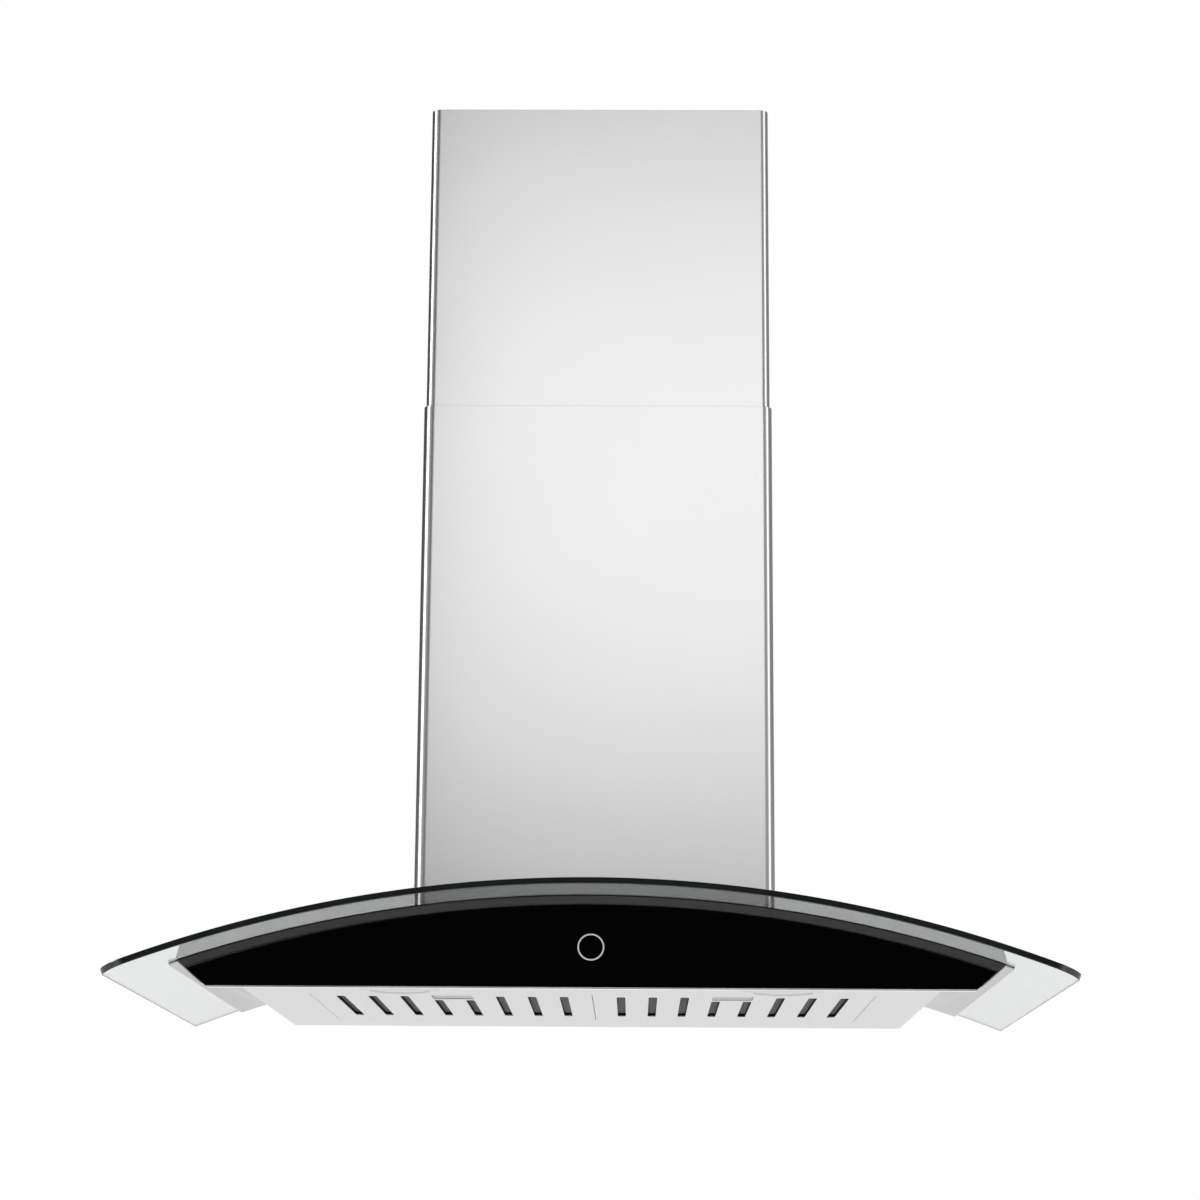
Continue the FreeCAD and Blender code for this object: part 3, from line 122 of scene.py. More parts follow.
class Finish:
    """A node tree in the making, with one method that adds a node."""

    # the colour sockets of a Mix node
    FIRST = 6
    SECOND = 7
    MIXED = 2

    def __init__(self, tree):
        self.tree = tree
        self.tree.nodes.clear()

    def node(self, kind, settings=None, inputs=None, output=0):
        made = self.tree.nodes.new(kind)
        for name, value in (settings or {}).items():
            if name == "stops":
                self.set_stops(made.color_ramp, value)
            else:
                setattr(made, name, value)
        for name, value in (inputs or {}).items():
            if isinstance(value, Wire):
                self.tree.links.new(value.socket, made.inputs[name])
            else:
                made.inputs[name].default_value = value
        return Wire(self, made.outputs[output]) if made.outputs else made

    @staticmethod
    def set_stops(ramp, stops):
        while len(ramp.elements) < len(stops):
            ramp.elements.new(1.0)
        for element, (place, level) in zip(ramp.elements, stops):
            element.position = place
            element.color = (level, level, level, 1.0)

    def maths(self, operation, first, second):
        return self.node("ShaderNodeMath", {"operation": operation}, {0: first, 1: second})

    def place(self, scale=(1, 1, 1)):
        """Object coordinates, stretched along the axes."""
        coordinates = self.node("ShaderNodeTexCoord", output="Object")
        return self.node("ShaderNodeMapping", inputs={"Vector": coordinates, "Scale": scale})

    def noise(self, place, scale, detail=2.0, rough=0.5):
        inputs = {"Vector": place, "Scale": scale, "Detail": detail, "Roughness": rough}
        return self.node("ShaderNodeTexNoise", inputs=inputs, output="Fac")

    def mix(self, amount, first, second):
        """A colour between two, each a wire or three numbers."""
        ends = [end if isinstance(end, Wire) else (*end, 1.0) for end in (first, second)]
        inputs = {"Factor": amount, self.FIRST: ends[0], self.SECOND: ends[1]}
        return self.node("ShaderNodeMix", {"data_type": "RGBA"}, inputs, output=self.MIXED)

    def bump(self, height, strength, distance):
        inputs = {"Height": height, "Strength": strength, "Distance": distance}
        return self.node("ShaderNodeBump", inputs=inputs)

    def surface(self, **values):
        """The Principled shader and the output; a keyword's underscores stand for spaces."""
        inputs = {name.replace("_", " "): value for name, value in values.items()}
        shader = self.node("ShaderNodeBsdfPrincipled", inputs=inputs)
        self.node("ShaderNodeOutputMaterial", inputs={"Surface": shader})


def grey(level):
    return (level, level, level)


def new_material(dress):
    """A material that one of the functions below makes; it has the function's name."""
    material = bpy.data.materials.new(dress.__name__)
    material.use_nodes = True
    dress(Finish(material.node_tree))
    return material


# ---------------------------------------------------------------- finishes

def brushed(finish, grain, level, rough, stretch):
    """Brushed steel; grain is the scale of its lines, stretch how far they draw out a gleam."""
    lines = finish.noise(finish.place(grain), 1.0, 3.0, 0.7)
    cloud = finish.noise(finish.place(), 9.0, 2.0)
    shade = lines * 0.6 + cloud * 0.4
    finish.surface(
        Base_Color=finish.mix(shade, grey(level * 0.95), grey(level * 1.05)),
        Metallic=1.0,
        Roughness=lines * 0.06 + (rough - 0.03),
        Anisotropic=stretch,
        Anisotropic_Rotation=0.25,
        Normal=finish.bump(lines, 0.04, 0.02 * MM),
    )


def chimney_steel(finish):
    brushed(finish, (14, 14, 2600), 0.62, 0.30, 0.75)


# the plate's, filters' and lamp rings' steel, painted lighter than the same steel on the body and
# chimney: painted light
def pan_steel_painted_light(finish):
    brushed(finish, (10, 1800, 1800), 0.78, 0.24, 0.0)


# the body's steel, painted darker than the same steel on the plate and chimney: painted shade
def shell_steel_painted_shade(finish):
    brushed(finish, (1800, 10, 1800), 0.60, 0.24, 0.0)


def bright_steel(finish):
    cloud = finish.noise(finish.place(), 30.0, 3.0)
    finish.surface(
        Base_Color=finish.mix(cloud, grey(0.88), grey(0.94)),
        Metallic=1.0,
        Roughness=cloud * 0.06 + 0.10,
    )


def clear_glass(finish):
    smear = finish.noise(finish.place(), 14.0, 3.0)
    finish.surface(
        Base_Color=(0.93, 0.95, 0.945, 1.0),
        Roughness=smear * 0.012,
        IOR=1.5,
        Transmission_Weight=1.0,
    )


def ground_edge(finish):
    """The polished edge of the glass, which looks nearly black from the front."""
    cloud = finish.noise(finish.place(), 40.0, 2.0)
    finish.surface(
        Base_Color=finish.mix(cloud, (0.006, 0.008, 0.007), (0.014, 0.018, 0.016)),
        Roughness=cloud * 0.03 + 0.02,
        Specular_IOR_Level=0.9,
    )


def black_glass(finish):
    smear = finish.noise(finish.place(), 6.0, 4.0)
    finish.surface(
        Base_Color=finish.mix(smear, grey(0.0006), grey(0.0012)),
        Roughness=smear * 0.02 + 0.03,
        Specular_IOR_Level=0.4,
    )


def slot_edge_painted_shade(finish):
    """Turned edges of the slots, steel painted black with no gleam even along the view: painted
    shade for the dark inside of the filter.
    """
    cloud = finish.noise(finish.place(), 60.0, 3.0)
    finish.surface(
        Base_Color=finish.mix(cloud, grey(0.003), grey(0.008)),
        Roughness=cloud * 0.1 + 0.75,
        Specular_IOR_Level=0.05,
    )


def baffle_painted_shade(finish):
    """The baffle behind the slots, its steel painted dark and dull as painted shade."""
    lines = finish.noise(finish.place((500, 9, 500)), 1.0, 3.0)
    finish.surface(
        Base_Color=finish.mix(lines, grey(0.03), grey(0.20)),
        Roughness=lines * 0.1 + 0.6,
        Specular_IOR_Level=0.12,
    )


def satin_trim(finish):
    lines = finish.noise(finish.place((20, 900, 900)), 1.0, 2.0)
    finish.surface(
        Base_Color=finish.mix(lines, grey(0.025), grey(0.045)),
        Metallic=0.3,
        Roughness=lines * 0.1 + 0.38,
    )


def ring_print(finish):
    cloud = finish.noise(finish.place(), 300.0, 2.0)
    finish.surface(
        Base_Color=finish.mix(cloud, grey(0.50), grey(0.58)),
        Roughness=cloud * 0.1 + 0.4,
        Emission_Color=(1.0, 1.0, 1.0, 1.0),
        Emission_Strength=0.05,
    )


def rubber(finish):
    grain = finish.noise(finish.place(), 900.0, 3.0)
    finish.surface(
        Base_Color=finish.mix(grain, grey(0.003), grey(0.007)),
        Roughness=grain * 0.15 + 0.65,
        Specular_IOR_Level=0.2,
        Normal=finish.bump(grain, 0.2, 0.05 * MM),
    )


def moulded(finish, colour, rough=0.45):
    """Moulded plastic with a fine grain."""
    grain = finish.noise(finish.place(), 1400.0, 2.0)
    cloud = finish.noise(finish.place(), 25.0, 3.0)
    dark = tuple(0.88 * part for part in colour)
    finish.surface(
        Base_Color=finish.mix(cloud, dark, colour),
        Roughness=grain * 0.12 + rough,
        Normal=finish.bump(grain, 0.15, 0.03 * MM),
    )


def black_plastic(finish):
    moulded(finish, grey(0.045))


def grey_plastic(finish):
    moulded(finish, (0.30, 0.31, 0.32))


def white_plastic(finish):
    moulded(finish, (0.76, 0.76, 0.74), 0.35)


def zinc(finish):
    """Zinc-coated sheet: flat crystals of a few millimetres, each a little lighter or darker."""
    inputs = {"Vector": finish.place(), "Scale": 240.0}
    cells = finish.node("ShaderNodeTexVoronoi", inputs=inputs, output="Color")
    crystal = finish.node("ShaderNodeSeparateColor", inputs={"Color": cells})
    finish.surface(
        Base_Color=finish.mix(crystal, (0.54, 0.55, 0.56), (0.60, 0.61, 0.62)),
        Metallic=0.9,
        Roughness=crystal * 0.12 + 0.34,
    )


def cast_aluminium(finish):
    grain = finish.noise(finish.place(), 700.0, 4.0, 0.7)
    finish.surface(
        Base_Color=finish.mix(grain, grey(0.52), grey(0.64)),
        Metallic=0.9,
        Roughness=grain * 0.15 + 0.42,
        Normal=finish.bump(grain, 0.3, 0.08 * MM),
    )


def bright_aluminium(finish):
    lines = finish.noise(finish.place((900, 12, 900)), 1.0, 2.0)
    finish.surface(
        Base_Color=finish.mix(lines, grey(0.60), grey(0.70)),
        Metallic=1.0,
        Roughness=lines * 0.1 + 0.22,
    )


def circuit_board(finish):
    cloud = finish.noise(finish.place(), 500.0, 1.0)
    finish.surface(
        Base_Color=finish.mix(cloud, (0.008, 0.075, 0.03), (0.015, 0.13, 0.055)),
        Roughness=cloud * 0.1 + 0.3,
        Coat_Weight=0.4,
    )


def plain_steel(finish):
    grain = finish.noise(finish.place(), 500.0, 3.0)
    finish.surface(
        Base_Color=finish.mix(grain, grey(0.55), grey(0.68)),
        Metallic=1.0,
        Roughness=grain * 0.1 + 0.2,
    )


def frosted_lens(finish):
    frost = finish.noise(finish.place(), 600.0, 2.0)
    finish.surface(
        Base_Color=finish.mix(frost, (0.80, 0.81, 0.80), (0.88, 0.89, 0.88)),
        Roughness=frost * 0.1 + 0.25,
        Transmission_Weight=0.35,
        IOR=1.49,
        Coat_Weight=0.5,
    )


# the finish of each material slot, and of a few pieces that differ from their slot
FINISHES = {
    "clear_glass": clear_glass,
    "ground_edge": ground_edge,
    "black_glass": black_glass,
    "satin_trim": satin_trim,
    "ring_print": ring_print,
    "steel": pan_steel_painted_light,
    "shell_steel_painted_shade": shell_steel_painted_shade,
    "chimney_steel": chimney_steel,
    "bright_steel": bright_steel,
    "slot_edge_painted_shade": slot_edge_painted_shade,
    "baffle_painted_shade": baffle_painted_shade,
    "seal": rubber,
    "black_plastic": black_plastic,
    "grey_plastic": grey_plastic,
    "white_plastic": white_plastic,
    "lens": frosted_lens,
    "cast_alu": cast_aluminium,
    "mesh_alu": bright_aluminium,
    "galvanised": zinc,
    "board_green": circuit_board,
    "screw_steel": plain_steel,
}
MATERIALS = {name: new_material(dress) for name, dress in FINISHES.items()}


def dress_solids():
    """Every solid gets the finish of its slot; the chimney and the baffles have their own, the
    baffles' a painted shade.
    """
    slots = {row["node"]: row["material_slot"] for row in frame["record"]["subparts"]}
    for name, solid in frame["nodes"].items():
        finish = slots[name]
        if "chimney" in name and finish == "steel":
            finish = "chimney_steel"
        # the baffles are painted dark, as painted shade behind the slots
        if "filter_baffle" in name:
            finish = "baffle_painted_shade"
        solid.data.materials.clear()
        solid.data.materials.append(MATERIALS[finish])


# ---------------------------------------------------------------- mesh tools

def add_piece(name, mesh, finishes, body, nodes=(), crease=35):
    """Put a finished bmesh into the scene as a piece that rides on a body."""
    data = bpy.data.meshes.new(name)
    mesh.to_mesh(data)
    mesh.free()
    data.shade_smooth()
    data.set_sharp_from_angle(angle=math.radians(crease))
    for finish in finishes:
        data.materials.append(MATERIALS[finish])
    piece = bpy.data.objects.new(name, data)
    scene.collection.objects.link(piece)
    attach(piece, body)
    if nodes:
        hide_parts(*nodes)
    return piece


def soften(piece, width, segments=2):
    """Round the folds and cut edges of a piece."""
    bevel = piece.modifiers.new("soft_edges", "BEVEL")
    bevel.width = width
    bevel.segments = segments
    bevel.limit_method = "ANGLE"
    bevel.angle_limit = math.radians(30)
    bevel.harden_normals = True
    bevel.use_clamp_overlap = True


def thicken(piece, thickness):
    """Give a one-sided sheet its thickness, inwards."""
    sheet = piece.modifiers.new("sheet", "SOLIDIFY")
    sheet.thickness = thickness
    sheet.offset = -1


def everything(mesh):
    return mesh.verts[:] + mesh.edges[:] + mesh.faces[:]


def open_edges(mesh):
    return [edge for edge in mesh.edges if edge.is_boundary]


def cut_at(mesh, axis, place):
    normal = Vector((0, 0, 0))
    normal[axis] = 1
    bmesh.ops.bisect_plane(mesh, geom=everything(mesh), plane_co=normal * place, plane_no=normal)


def cut_every(mesh, axis, start, stop, step):
    """Cut the mesh into equal slices along an axis, so that it can be bent."""
    count = max(1, round((stop - start) / step))
    for index in range(1, count):
        cut_at(mesh, axis, start + (stop - start) * index / count)


def trim(mesh, point, normal):
    """Take away what lies on the normal's side of a plane, and close the cut."""
    bmesh.ops.bisect_plane(mesh, geom=everything(mesh), plane_co=point, plane_no=normal,
                           clear_outer=True)
    bmesh.ops.holes_fill(mesh, edges=open_edges(mesh))


def new_verts(result):
    return [item for item in result["geom"] if isinstance(item, bmesh.types.BMVert)]


def slab(outline, low, high):
    """A flat-sided solid on an outline in the XY plane."""
    mesh = bmesh.new()
    face = mesh.faces.new([mesh.verts.new((x, y, low)) for x, y in outline])
    grown = bmesh.ops.extrude_face_region(mesh, geom=[face])
    bmesh.ops.translate(mesh, vec=(0, 0, high - low), verts=new_verts(grown))
    bmesh.ops.recalc_face_normals(mesh, faces=mesh.faces)
    return mesh


def rectangle(left, right, front, rear):
    return [(left, front), (right, front), (right, rear), (left, rear)]


def block(low, high):
    return slab(rectangle(low[0], high[0], low[1], high[1]), low[2], high[2])


def upright_edges(mesh, chosen=lambda place: True):
    """Edges along Z whose middle passes a test."""
    picked = []
    for edge in mesh.edges:
        first, second = (vert.co for vert in edge.verts)
        along = abs(first.z - second.z)
        if along > 0 and (first - second).length < along * 1.001 and chosen((first + second) / 2):
            picked.append(edge)
    return picked


def round_off(mesh, edges, radius, segments):
    bmesh.ops.bevel(mesh, geom=edges, offset=radius, offset_type="OFFSET", segments=segments,
                    profile=0.5, affect="EDGES", material=-1)


def turned(profile, steps):
    """A solid of revolution about Z; profile is a closed loop of (radius, height)."""
    mesh = bmesh.new()
    verts = [mesh.verts.new((radius, 0, height)) for radius, height in profile]
    edges = [mesh.edges.new((verts[index - 1], verts[index])) for index in range(len(verts))]
    bmesh.ops.spin(mesh, geom=verts + edges, cent=(0, 0, 0), axis=(0, 0, 1), angle=2 * math.pi,
                   steps=steps, use_merge=True)
    bmesh.ops.remove_doubles(mesh, verts=mesh.verts, dist=WELD)
    bmesh.ops.dissolve_degenerate(mesh, edges=mesh.edges, dist=WELD)
    bmesh.ops.recalc_face_normals(mesh, faces=mesh.faces)
    return mesh


def fine_copy(node):
    """A merged copy of a solid, with its flat faces whole."""
    mesh = bmesh.new()
    mesh.from_mesh(frame["nodes"][node].data)
    bmesh.ops.remove_doubles(mesh, verts=mesh.verts, dist=WELD)
    bmesh.ops.dissolve_limit(mesh, angle_limit=math.radians(0.5), verts=mesh.verts,
                             edges=mesh.edges)
    return mesh


def join(meshes):
    """All the shapes of a list as one bmesh."""
    whole = bmesh.new()
    for mesh in meshes:
        part = bpy.data.meshes.new("part")
        mesh.to_mesh(part)
        mesh.free()
        whole.from_mesh(part)
        bpy.data.meshes.remove(part)
    return whole


def moved(mesh, place, turn=None):
    """The mesh turned about the origin, then put in its place."""
    if turn:
        bmesh.ops.transform(mesh, matrix=turn.to_4x4(), verts=mesh.verts)
    bmesh.ops.translate(mesh, vec=place, verts=mesh.verts)
    return mesh


# ---------------------------------------------------------------- canopy and front

def arch_level(x, radius):
    """Height at x of an arch about the canopy's axis."""
    return math.sqrt(radius ** 2 - x ** 2) - ARCH_RADIUS


def bend_to_arch(mesh):
    """Lay a flat plate, drawn with its top at Z = 0, over the arch."""
    for vert in mesh.verts:
        angle = math.asin(vert.co.x / ARCH_RADIUS)
        radius = ARCH_RADIUS + vert.co.z
        vert.co.x = radius * math.sin(angle)
        vert.co.z = radius * math.cos(angle) - ARCH_RADIUS


def canopy():
    """The arched glass: a flat plate with a notch at the wall, its edges ground, then bent."""
    low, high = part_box("glass_canopy")
    chimney_low, chimney_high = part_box("lower_chimney")
    half_notch = chimney_high.x - SHEET - GLASS_LAP
    notch_front = chimney_low.y + SHEET + GLASS_LAP
    notch = [(half_notch, high.y), (half_notch, notch_front),
             (-half_notch, notch_front), (-half_notch, high.y)]
    outline = rectangle(low.x, high.x, low.y, high.y)
    mesh = slab(outline[:3] + notch + outline[3:], -GLASS_THICKNESS, 0)
    front_corners = upright_edges(mesh, lambda place: place.y < low.y + MM)
    round_off(mesh, front_corners, GLASS_CORNER, 12)
    notch_corners = upright_edges(mesh, lambda place: abs(place.y - notch_front) < MM)
    round_off(mesh, notch_corners, NOTCH_CORNER, 6)
    uprights = upright_edges(mesh)
    rims = [edge for edge in mesh.edges if edge.calc_face_angle(0) > 1 and edge not in uprights]
    round_off(mesh, rims, 0.6 * MM, 2)
    for face in mesh.faces:
        face.material_index = 0 if abs(face.normal.z) > 0.99 else 1
    cut_every(mesh, 0, low.x, high.x, ARCH_STEP)
    bend_to_arch(mesh)
    add_piece("canopy_glass", mesh, ["clear_glass", "ground_edge"], "root",
              ["glass_canopy"], crease=20)


def arched_strip(node, low_radius=None):
    """A front piece under the arch, its ends sloped inwards towards the lip."""
    low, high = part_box(node)
    panel_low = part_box("control_panel")[0].z
    half_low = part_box("front_lip")[1].x
    half_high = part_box("body_shell")[1].x - PANEL_INSET
    mesh = block(low, high)
    cut_every(mesh, 0, low.x, high.x, ARCH_STEP)
    for vert in mesh.verts:
        if vert.co.z > high.z - MM:
            vert.co.z = arch_level(vert.co.x, ARCH_RADIUS + high.z)
        elif low_radius:
            vert.co.z = arch_level(vert.co.x, low_radius)
    rise = arch_level(half_high, BODY_ARCH) - panel_low
    for side in (-1, 1):
        normal = Vector((side * rise, 0, half_low - half_high))
        trim(mesh, Vector((side * half_low, 0, panel_low)), normal.normalized())
    return mesh


def front():
    """The black glass panel, the grey strip above it and the bright lip below it."""
    panel = add_piece("front_glass", arched_strip("control_panel"), ["black_glass"], "root",
                      ["control_panel"])
    soften(panel, 0.5 * MM)
    panel_arch = ARCH_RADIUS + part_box("control_panel")[1].z
    strip = add_piece("top_strip", arched_strip("panel_top_trim", panel_arch), ["satin_trim"],
                      "root", ["panel_top_trim"])
    soften(strip, 0.4 * MM)
    lip = add_piece("bright_lip", fine_copy("front_lip"), ["bright_steel"], "root",
                    ["front_lip"])
    soften(lip, 0.35 * MM, 3)


def seal():
    """The black strip between glass and steel; past the body's wall it is as wide as the front."""
    half_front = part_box("body_shell")[1].x - PANEL_INSET
    wall_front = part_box("body_shell")[0].y
    border = fine_copy("glass_gasket")
    trim(border, Vector((0, wall_front, 0)), Vector((0, -1, 0)))
    strip = fine_copy("glass_gasket")
    trim(strip, Vector((0, wall_front, 0)), Vector((0, 1, 0)))
    for side in (-1, 1):
        trim(strip, Vector((side * half_front, 0, 0)), Vector((side, 0, 0)))
    add_piece("glass_seal", join([border, strip]), ["seal"], "root", ["glass_gasket"])


def ring():
    """The thin printed ring of the touch key."""
    low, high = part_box("touch_ring")
    outer = (high.x - low.x) / 2
    middle = (low + high) / 2
    inner = outer - RING_LINE
    proud = 0.1 * MM
    profile = [
        (inner, -MM),
        (outer, -MM),
        (outer, 0),
        (outer - proud, proud),
        (inner + proud, proud),
        (inner, 0),
    ]
    turn = Matrix.Rotation(math.radians(90), 3, "X")
    mesh = moved(turned(profile, 96), (middle.x, low.y, middle.z), turn)
    add_piece("key_ring", mesh, ["ring_print"], "root", ["touch_ring"])


# ---------------------------------------------------------------- body, lamps and filters

def pan():
    """The steel body under the glass, and the plate that closes it below."""
    # the body's steel is darkened as painted shade
    shell = add_piece("steel_body", fine_copy("body_shell"), ["shell_steel_painted_shade"], "root",
                      ["body_shell"])
    soften(shell, 0.45 * MM)
    # the plate's steel is lightened as painted light
    plate = add_piece("steel_plate", fine_copy("bottom_plate"), ["steel"], "root",
                      ["bottom_plate"])
    soften(plate, 0.3 * MM)


def lamp(side_name):
    """A crowned bezel with a tube behind it, and the frosted pane that it holds."""
    low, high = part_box(f"lamp_bezel_{side_name}")
    lens_low, lens_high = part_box(f"lamp_lens_{side_name}")
    plate_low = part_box("bottom_plate")[0].z
    middle = Vector(((low.x + high.x) / 2, (low.y + high.y) / 2, plate_low))
    outer = (high.x - low.x) / 2
    tube = outer - LAMP_TUBE_INSET
    lens_rim = (lens_high.x - lens_low.x) / 2
    seat = lens_rim + LENS_PLAY
    pane = seat - SHEET
    proud = plate_low - low.z
    bezel = [
        (pane, -proud * 0.5),
        (pane + MM, -proud),
        (outer - 4 * MM, -proud),
        (outer - 1.4 * MM, -proud * 0.82),
        (outer - 0.3 * MM, -proud * 0.45),
        (outer, 0),
        (tube, 0),
        (tube, LAMP_TUBE_DEPTH),
        (seat, LAMP_TUBE_DEPTH),
        (seat, 0),
        (pane, 0),
    ]
    add_piece(f"lamp_ring_{side_name}", moved(turned(bezel, 96), middle), ["steel"], "root",
              [f"lamp_bezel_{side_name}"])
    edge = pane - LENS_PLAY
    top = lens_high.z - plate_low
    lens = [
        (0, -proud * 0.66),
        (edge * 0.6, -proud * 0.6),
        (edge, -proud * 0.33),
        (edge, 0),
        (seat - LENS_PLAY, 0),
        (seat - LENS_PLAY, top),
        (0, top),
    ]
    add_piece(f"lamp_pane_{side_name}", moved(turned(lens, 72), middle), ["lens"], "root",
              [f"lamp_lens_{side_name}"])


def slot_lip(x, front, rear, low):
    """The rolled edge of one slot, standing up behind the filter's face."""
    half = SLOT_WIDTH / 2 + SLOT_LIP_LAP
    outline = rectangle(x - half, x + half, front - SLOT_LIP_LAP, rear + SLOT_LIP_LAP)
    mesh = slab(outline, low, low + SLOT_LIP)
    ends = [face for face in mesh.faces if abs(face.normal.z) > 0.9]
    bmesh.ops.delete(mesh, geom=ends, context="FACES")
    round_off(mesh, upright_edges(mesh), SLOT_LIP_CORNER, 3)
    return mesh


def grease_filter(side_name):
    """Slotted face and latch; the slots' turned edges are a sheet of their own."""
    body = f"filter_{side_name}"
    face = f"filter_face_{side_name}"
    pan_piece = add_piece(f"filter_pan_{side_name}", fine_copy(face), ["steel"], body,
                          [face])
    soften(pan_piece, 0.3 * MM)
    low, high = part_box(face)
    middle = (low.x + high.x) / 2
    rear_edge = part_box(f"filter_baffle_{side_name}")[1].y + SHEET
    lips = []
    for number in range(SLOT_COUNT):
        place = number - (SLOT_COUNT - 1) / 2
        margin = SLOT_SHORT_MARGIN if abs(place) < 1 else SLOT_FRONT_MARGIN
        x = middle + place * SLOT_PITCH
        lips.append(slot_lip(x, low.y + margin, rear_edge - SLOT_REAR_MARGIN, low.z + SHEET))
    # the turned edges are painted black, as painted shade for the dark inside of the filter
    lip_piece = add_piece(f"slot_lips_{side_name}", join(lips), ["slot_edge_painted_shade"], body)
    thicken(lip_piece, SLOT_LIP_SHEET)
    for kind, rider in (("latch_cup", body), ("filter_latch", f"latch_{side_name}")):
        node = f"{kind}_{side_name}"
        small = add_piece(f"{node}_sheet", fine_copy(node), ["steel"], rider, [node])
        soften(small, 0.2 * MM)


# ---------------------------------------------------------------- chimneys and screws

def chimney(node, body, arch=None):
    """Folded sheet: front with round corners, sides and two narrow returns at the wall.

    With arch, the radius that its foot follows, it is the lower part; without, the upper one.
    """
    low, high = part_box(node)
    corner = CHIMNEY_CORNER if arch else CHIMNEY_CORNER - SHEET - SLIDE_GAP
    route = [(low.x + RETURN_WIDTH, high.y), (low.x, high.y), (low.x, low.y),
             (high.x, low.y), (high.x, high.y), (high.x - RETURN_WIDTH, high.y)]
    mesh = bmesh.new()
    verts = [mesh.verts.new((x, y, low.z)) for x, y in route]
    edges = [mesh.edges.new(pair) for pair in zip(verts, verts[1:])]
    grown = bmesh.ops.extrude_edge_only(mesh, edges=edges)
    bmesh.ops.translate(mesh, vec=(0, 0, high.z - low.z), verts=new_verts(grown))
    bmesh.ops.recalc_face_normals(mesh, faces=mesh.faces)
    front_face = min(mesh.faces, key=lambda face: face.calc_center_median().y)
    if front_face.normal.y > 0:
        bmesh.ops.reverse_faces(mesh, faces=mesh.faces)
    front_folds = upright_edges(mesh, lambda place: place.y < low.y + MM)
    round_off(mesh, front_folds, corner, 12)
    rear_folds = upright_edges(
        mesh, lambda place: place.y > high.y - MM and abs(place.x) > high.x - MM)
    round_off(mesh, rear_folds, RETURN_CORNER, 4)
    flat = corner + MM
    for side in (-1, 1):
        cut_at(mesh, 0, side * (high.x - flat))
    cut_at(mesh, 1, low.y + flat)
    cut_at(mesh, 1, high.y - RETURN_CORNER - MM)
    cut_every(mesh, 0, low.x + flat, high.x - flat, CHIMNEY_STEP)
    if arch:
        for vert in mesh.verts:
            if vert.co.z < low.z + MM and vert.co.y < high.y - MM:
                vert.co.z = arch_level(vert.co.x, arch)
    cut_at(mesh, 2, high.z - MM)
    piece = add_piece(f"{node}_sheet", mesh, ["chimney_steel"], body, [node])
    thicken(piece, SHEET)
    soften(piece, 0.2 * MM)


def screw(place, axis):
    """A domed head with a cross recess, and its shank, on a surface whose normal is axis."""
    radius = SCREW_HEAD / 2
    height = SCREW_HEAD_HEIGHT
    half_arm = radius * 0.14
    reach = radius * 0.5
    depth = height * 0.6
    corners = []
    for quarter in range(4):
        turn = Matrix.Rotation(quarter * math.pi / 2, 3, "Z")
        arm = ((reach, -half_arm, 0), (reach, half_arm, 0), (half_arm, half_arm, 0))
        corners += [turn @ Vector(point) for point in arm]
    mesh = slab([corner.xy for corner in corners], height - depth, height)
    lid = [face for face in mesh.faces if face.normal.z > 0.9]
    bmesh.ops.delete(mesh, geom=lid, context="FACES_ONLY")
    loops = [open_edges(mesh)]
    profile = [
        (radius * 0.62, height),
        (radius * 0.86, height * 0.75),
        (radius, height * 0.3),
        (radius, 0),
        (radius * 0.5, 0),
        (radius * 0.5, -SCREW_LENGTH),
    ]
    for rim, level in profile:
        verts = bmesh.ops.create_circle(mesh, segments=24, radius=rim)["verts"]
        bmesh.ops.translate(mesh, vec=(0, 0, level), verts=verts)
        loops.append([edge for edge in mesh.edges if edge.verts[0] in verts])
    for first, second in zip(loops, loops[1:]):
        bmesh.ops.bridge_loops(mesh, edges=first + second)
    bmesh.ops.holes_fill(mesh, edges=open_edges(mesh))
    bmesh.ops.recalc_face_normals(mesh, faces=mesh.faces)
    return moved(mesh, place, Vector((0, 0, 1)).rotation_difference(Vector(axis)).to_matrix())


def chimney_screws(node, body):
    """One screw through each side of a chimney part, near the wall."""
    low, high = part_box(node)
    middle = (low + high) / 2
    side_wall = high.x - SCREW_HEAD_HEIGHT
    heads = []
    for side in (-1, 1):
        heads.append(screw((side * side_wall, middle.y, middle.z), (side, 0, 0)))
    add_piece(f"{node}_domed", join(heads), ["screw_steel"], body, [node],
              crease=40)


# ---------------------------------------------------------------- studio

# the camera, fitted to the photograph; angles in radians, yaw to the left
FRAME_PIXELS = 1200
FOCAL_PIXELS = 2876.3
SENSOR = 36.0
CAMERA_PLACE = (0.0345, -2.6855, -0.2902)
CAMERA_YAW = 0.013
CAMERA_PITCH = 0.228
CAMERA_ROLL = 0.007

# strength of the light round the hood, by the share of a full turn: 0 and 1 are the wall's
# side, 0.25 the left, 0.5 the front and 0.75 the right; each side has a strip and a flag
LEFT_STRIPS = [(0.05, 1.0), (0.075, 0.03), (0.27, 0.03), (0.29, 5.0),
               (0.33, 5.0), (0.345, 0.3), (0.415, 0.3), (0.43, 0.02)]
RIGHT_STRIPS = [(0.57, 0.02), (0.585, 0.3), (0.655, 0.3), (0.67, 2.4),
                (0.71, 2.4), (0.73, 0.25), (0.925, 0.25), (0.95, 1.0)]

# the floor lies far below, so that it doesn't hide the hood in views from underneath
FLOOR_LEVEL = -1.55
FLOOR_HALF = 12.0


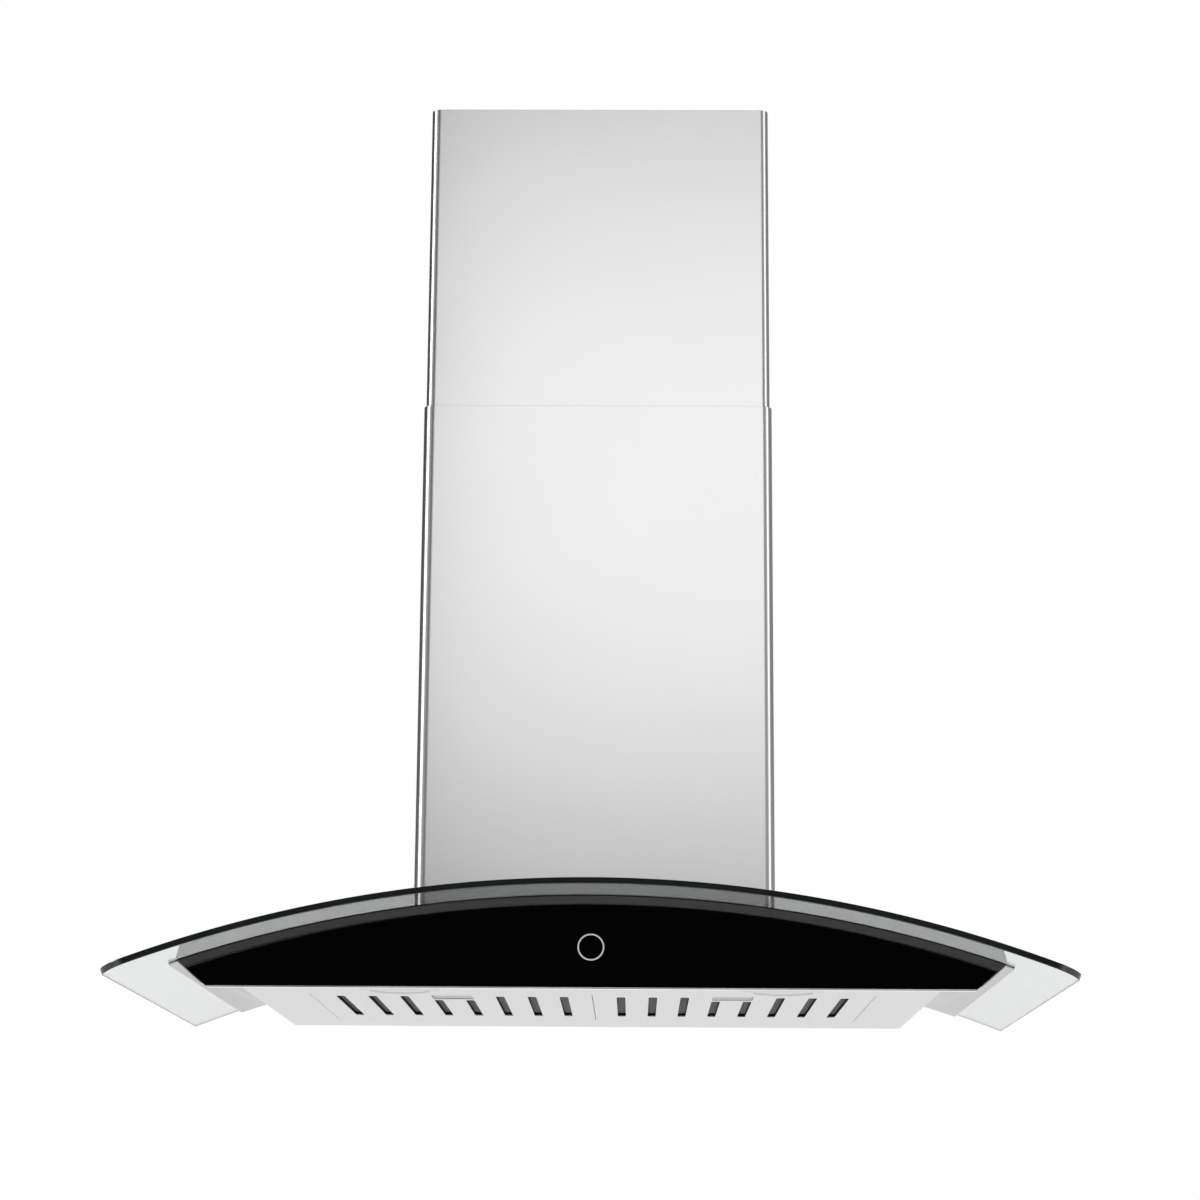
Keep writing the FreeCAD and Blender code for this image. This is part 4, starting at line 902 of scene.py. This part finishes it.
def place_camera():
    """The photograph's view: from below the hood, looking slightly up."""
    flat = math.cos(CAMERA_PITCH)
    look = Vector((-math.sin(CAMERA_YAW) * flat, math.cos(CAMERA_YAW) * flat,
                   math.sin(CAMERA_PITCH)))
    level = Vector((math.cos(CAMERA_YAW), math.sin(CAMERA_YAW), 0))
    upright = level.cross(look)
    right = level * math.cos(CAMERA_ROLL) + upright * math.sin(CAMERA_ROLL)
    up = upright * math.cos(CAMERA_ROLL) - level * math.sin(CAMERA_ROLL)
    data = bpy.data.cameras.new("camera")
    data.sensor_width = SENSOR
    data.lens = SENSOR * FOCAL_PIXELS / FRAME_PIXELS
    camera = bpy.data.objects.new("camera", data)
    turn = Matrix((right, up, -look)).transposed().to_4x4()
    camera.matrix_world = Matrix.Translation(CAMERA_PLACE) @ turn
    scene.collection.objects.link(camera)
    scene.camera = camera


def studio_world():
    """White for the camera and through glass; gleams see strips, flags and a white ground."""
    world = bpy.data.worlds.new("studio")
    world.use_nodes = True
    finish = Finish(world.node_tree)
    direction = finish.node("ShaderNodeTexCoord", output="Generated")
    across = finish.node("ShaderNodeSeparateXYZ", inputs={"Vector": direction}, output="X")
    turn = finish.maths("ARCTAN2", across, across.other("Y") * -1.0)
    round_about = turn * (0.5 / math.pi) + 0.5
    stops = LEFT_STRIPS + RIGHT_STRIPS
    strips = finish.node("ShaderNodeValToRGB", {"stops": stops}, {"Fac": round_about})
    camera_ray = finish.node("ShaderNodeLightPath", output="Is Camera Ray")
    below = finish.node("ShaderNodeMapRange", inputs={
        "Value": across.other("Z"),
        "From Min": -0.05,
        "From Max": 0.05,
        "To Min": 1.0,
        "To Max": 0.0,
    })
    gleam = finish.mix(below, strips, grey(1))
    light = finish.mix(camera_ray.other("Is Glossy Ray"), grey(0.85), gleam)
    clear = finish.maths("MAXIMUM", camera_ray, camera_ray.other("Is Transmission Ray"))
    seen = finish.mix(clear, light, grey(1))
    shader = finish.node("ShaderNodeBackground", inputs={"Color": seen, "Strength": 1.0})
    finish.node("ShaderNodeOutputWorld", inputs={"Surface": shader})
    scene.world = world


def softbox(name, place, aim, width, height, power):
    """A rectangular lamp that the camera doesn't see."""
    data = bpy.data.lights.new(name, "AREA")
    data.shape = "RECTANGLE"
    data.size = width
    data.size_y = height
    data.energy = power
    box = bpy.data.objects.new(name, data)
    box.location = place
    box.rotation_euler = (Vector(aim) - Vector(place)).to_track_quat("-Z", "Y").to_euler()
    box.visible_camera = False
    scene.collection.objects.link(box)


def pale_floor(finish):
    cloud = finish.noise(finish.place(), 1.5, 2.0)
    finish.surface(Base_Color=finish.mix(cloud, grey(0.86), grey(0.88)), Roughness=0.9)


def floor():
    mesh = bmesh.new()
    bmesh.ops.create_grid(mesh, x_segments=2, y_segments=2, size=FLOOR_HALF)
    bmesh.ops.translate(mesh, vec=(0, 0, FLOOR_LEVEL), verts=mesh.verts)
    data = bpy.data.meshes.new("floor")
    mesh.to_mesh(data)
    mesh.free()
    data.materials.append(new_material(pale_floor))
    ground = bpy.data.objects.new("floor", data)
    scene.collection.objects.link(ground)


def studio():
    place_camera()
    studio_world()
    floor()
    softbox("front_box", place=(0.2, -1.7, 0.84), aim=(0.2, 0.0, 0.84), width=1.05, height=1.12,
            power=6.2)


dress_solids()
canopy()
front()
seal()
ring()
pan()
for side_name in ("left", "right"):
    lamp(side_name)
    grease_filter(side_name)
chimney("lower_chimney", "root", ARCH_RADIUS + GLASS_GAP)
chimney("upper_chimney", "upper_chimney")
chimney_screws("lower_chimney_screws", "root")
chimney_screws("upper_chimney_screws", "upper_chimney")
studio()
scene.view_settings.view_transform = "Standard"
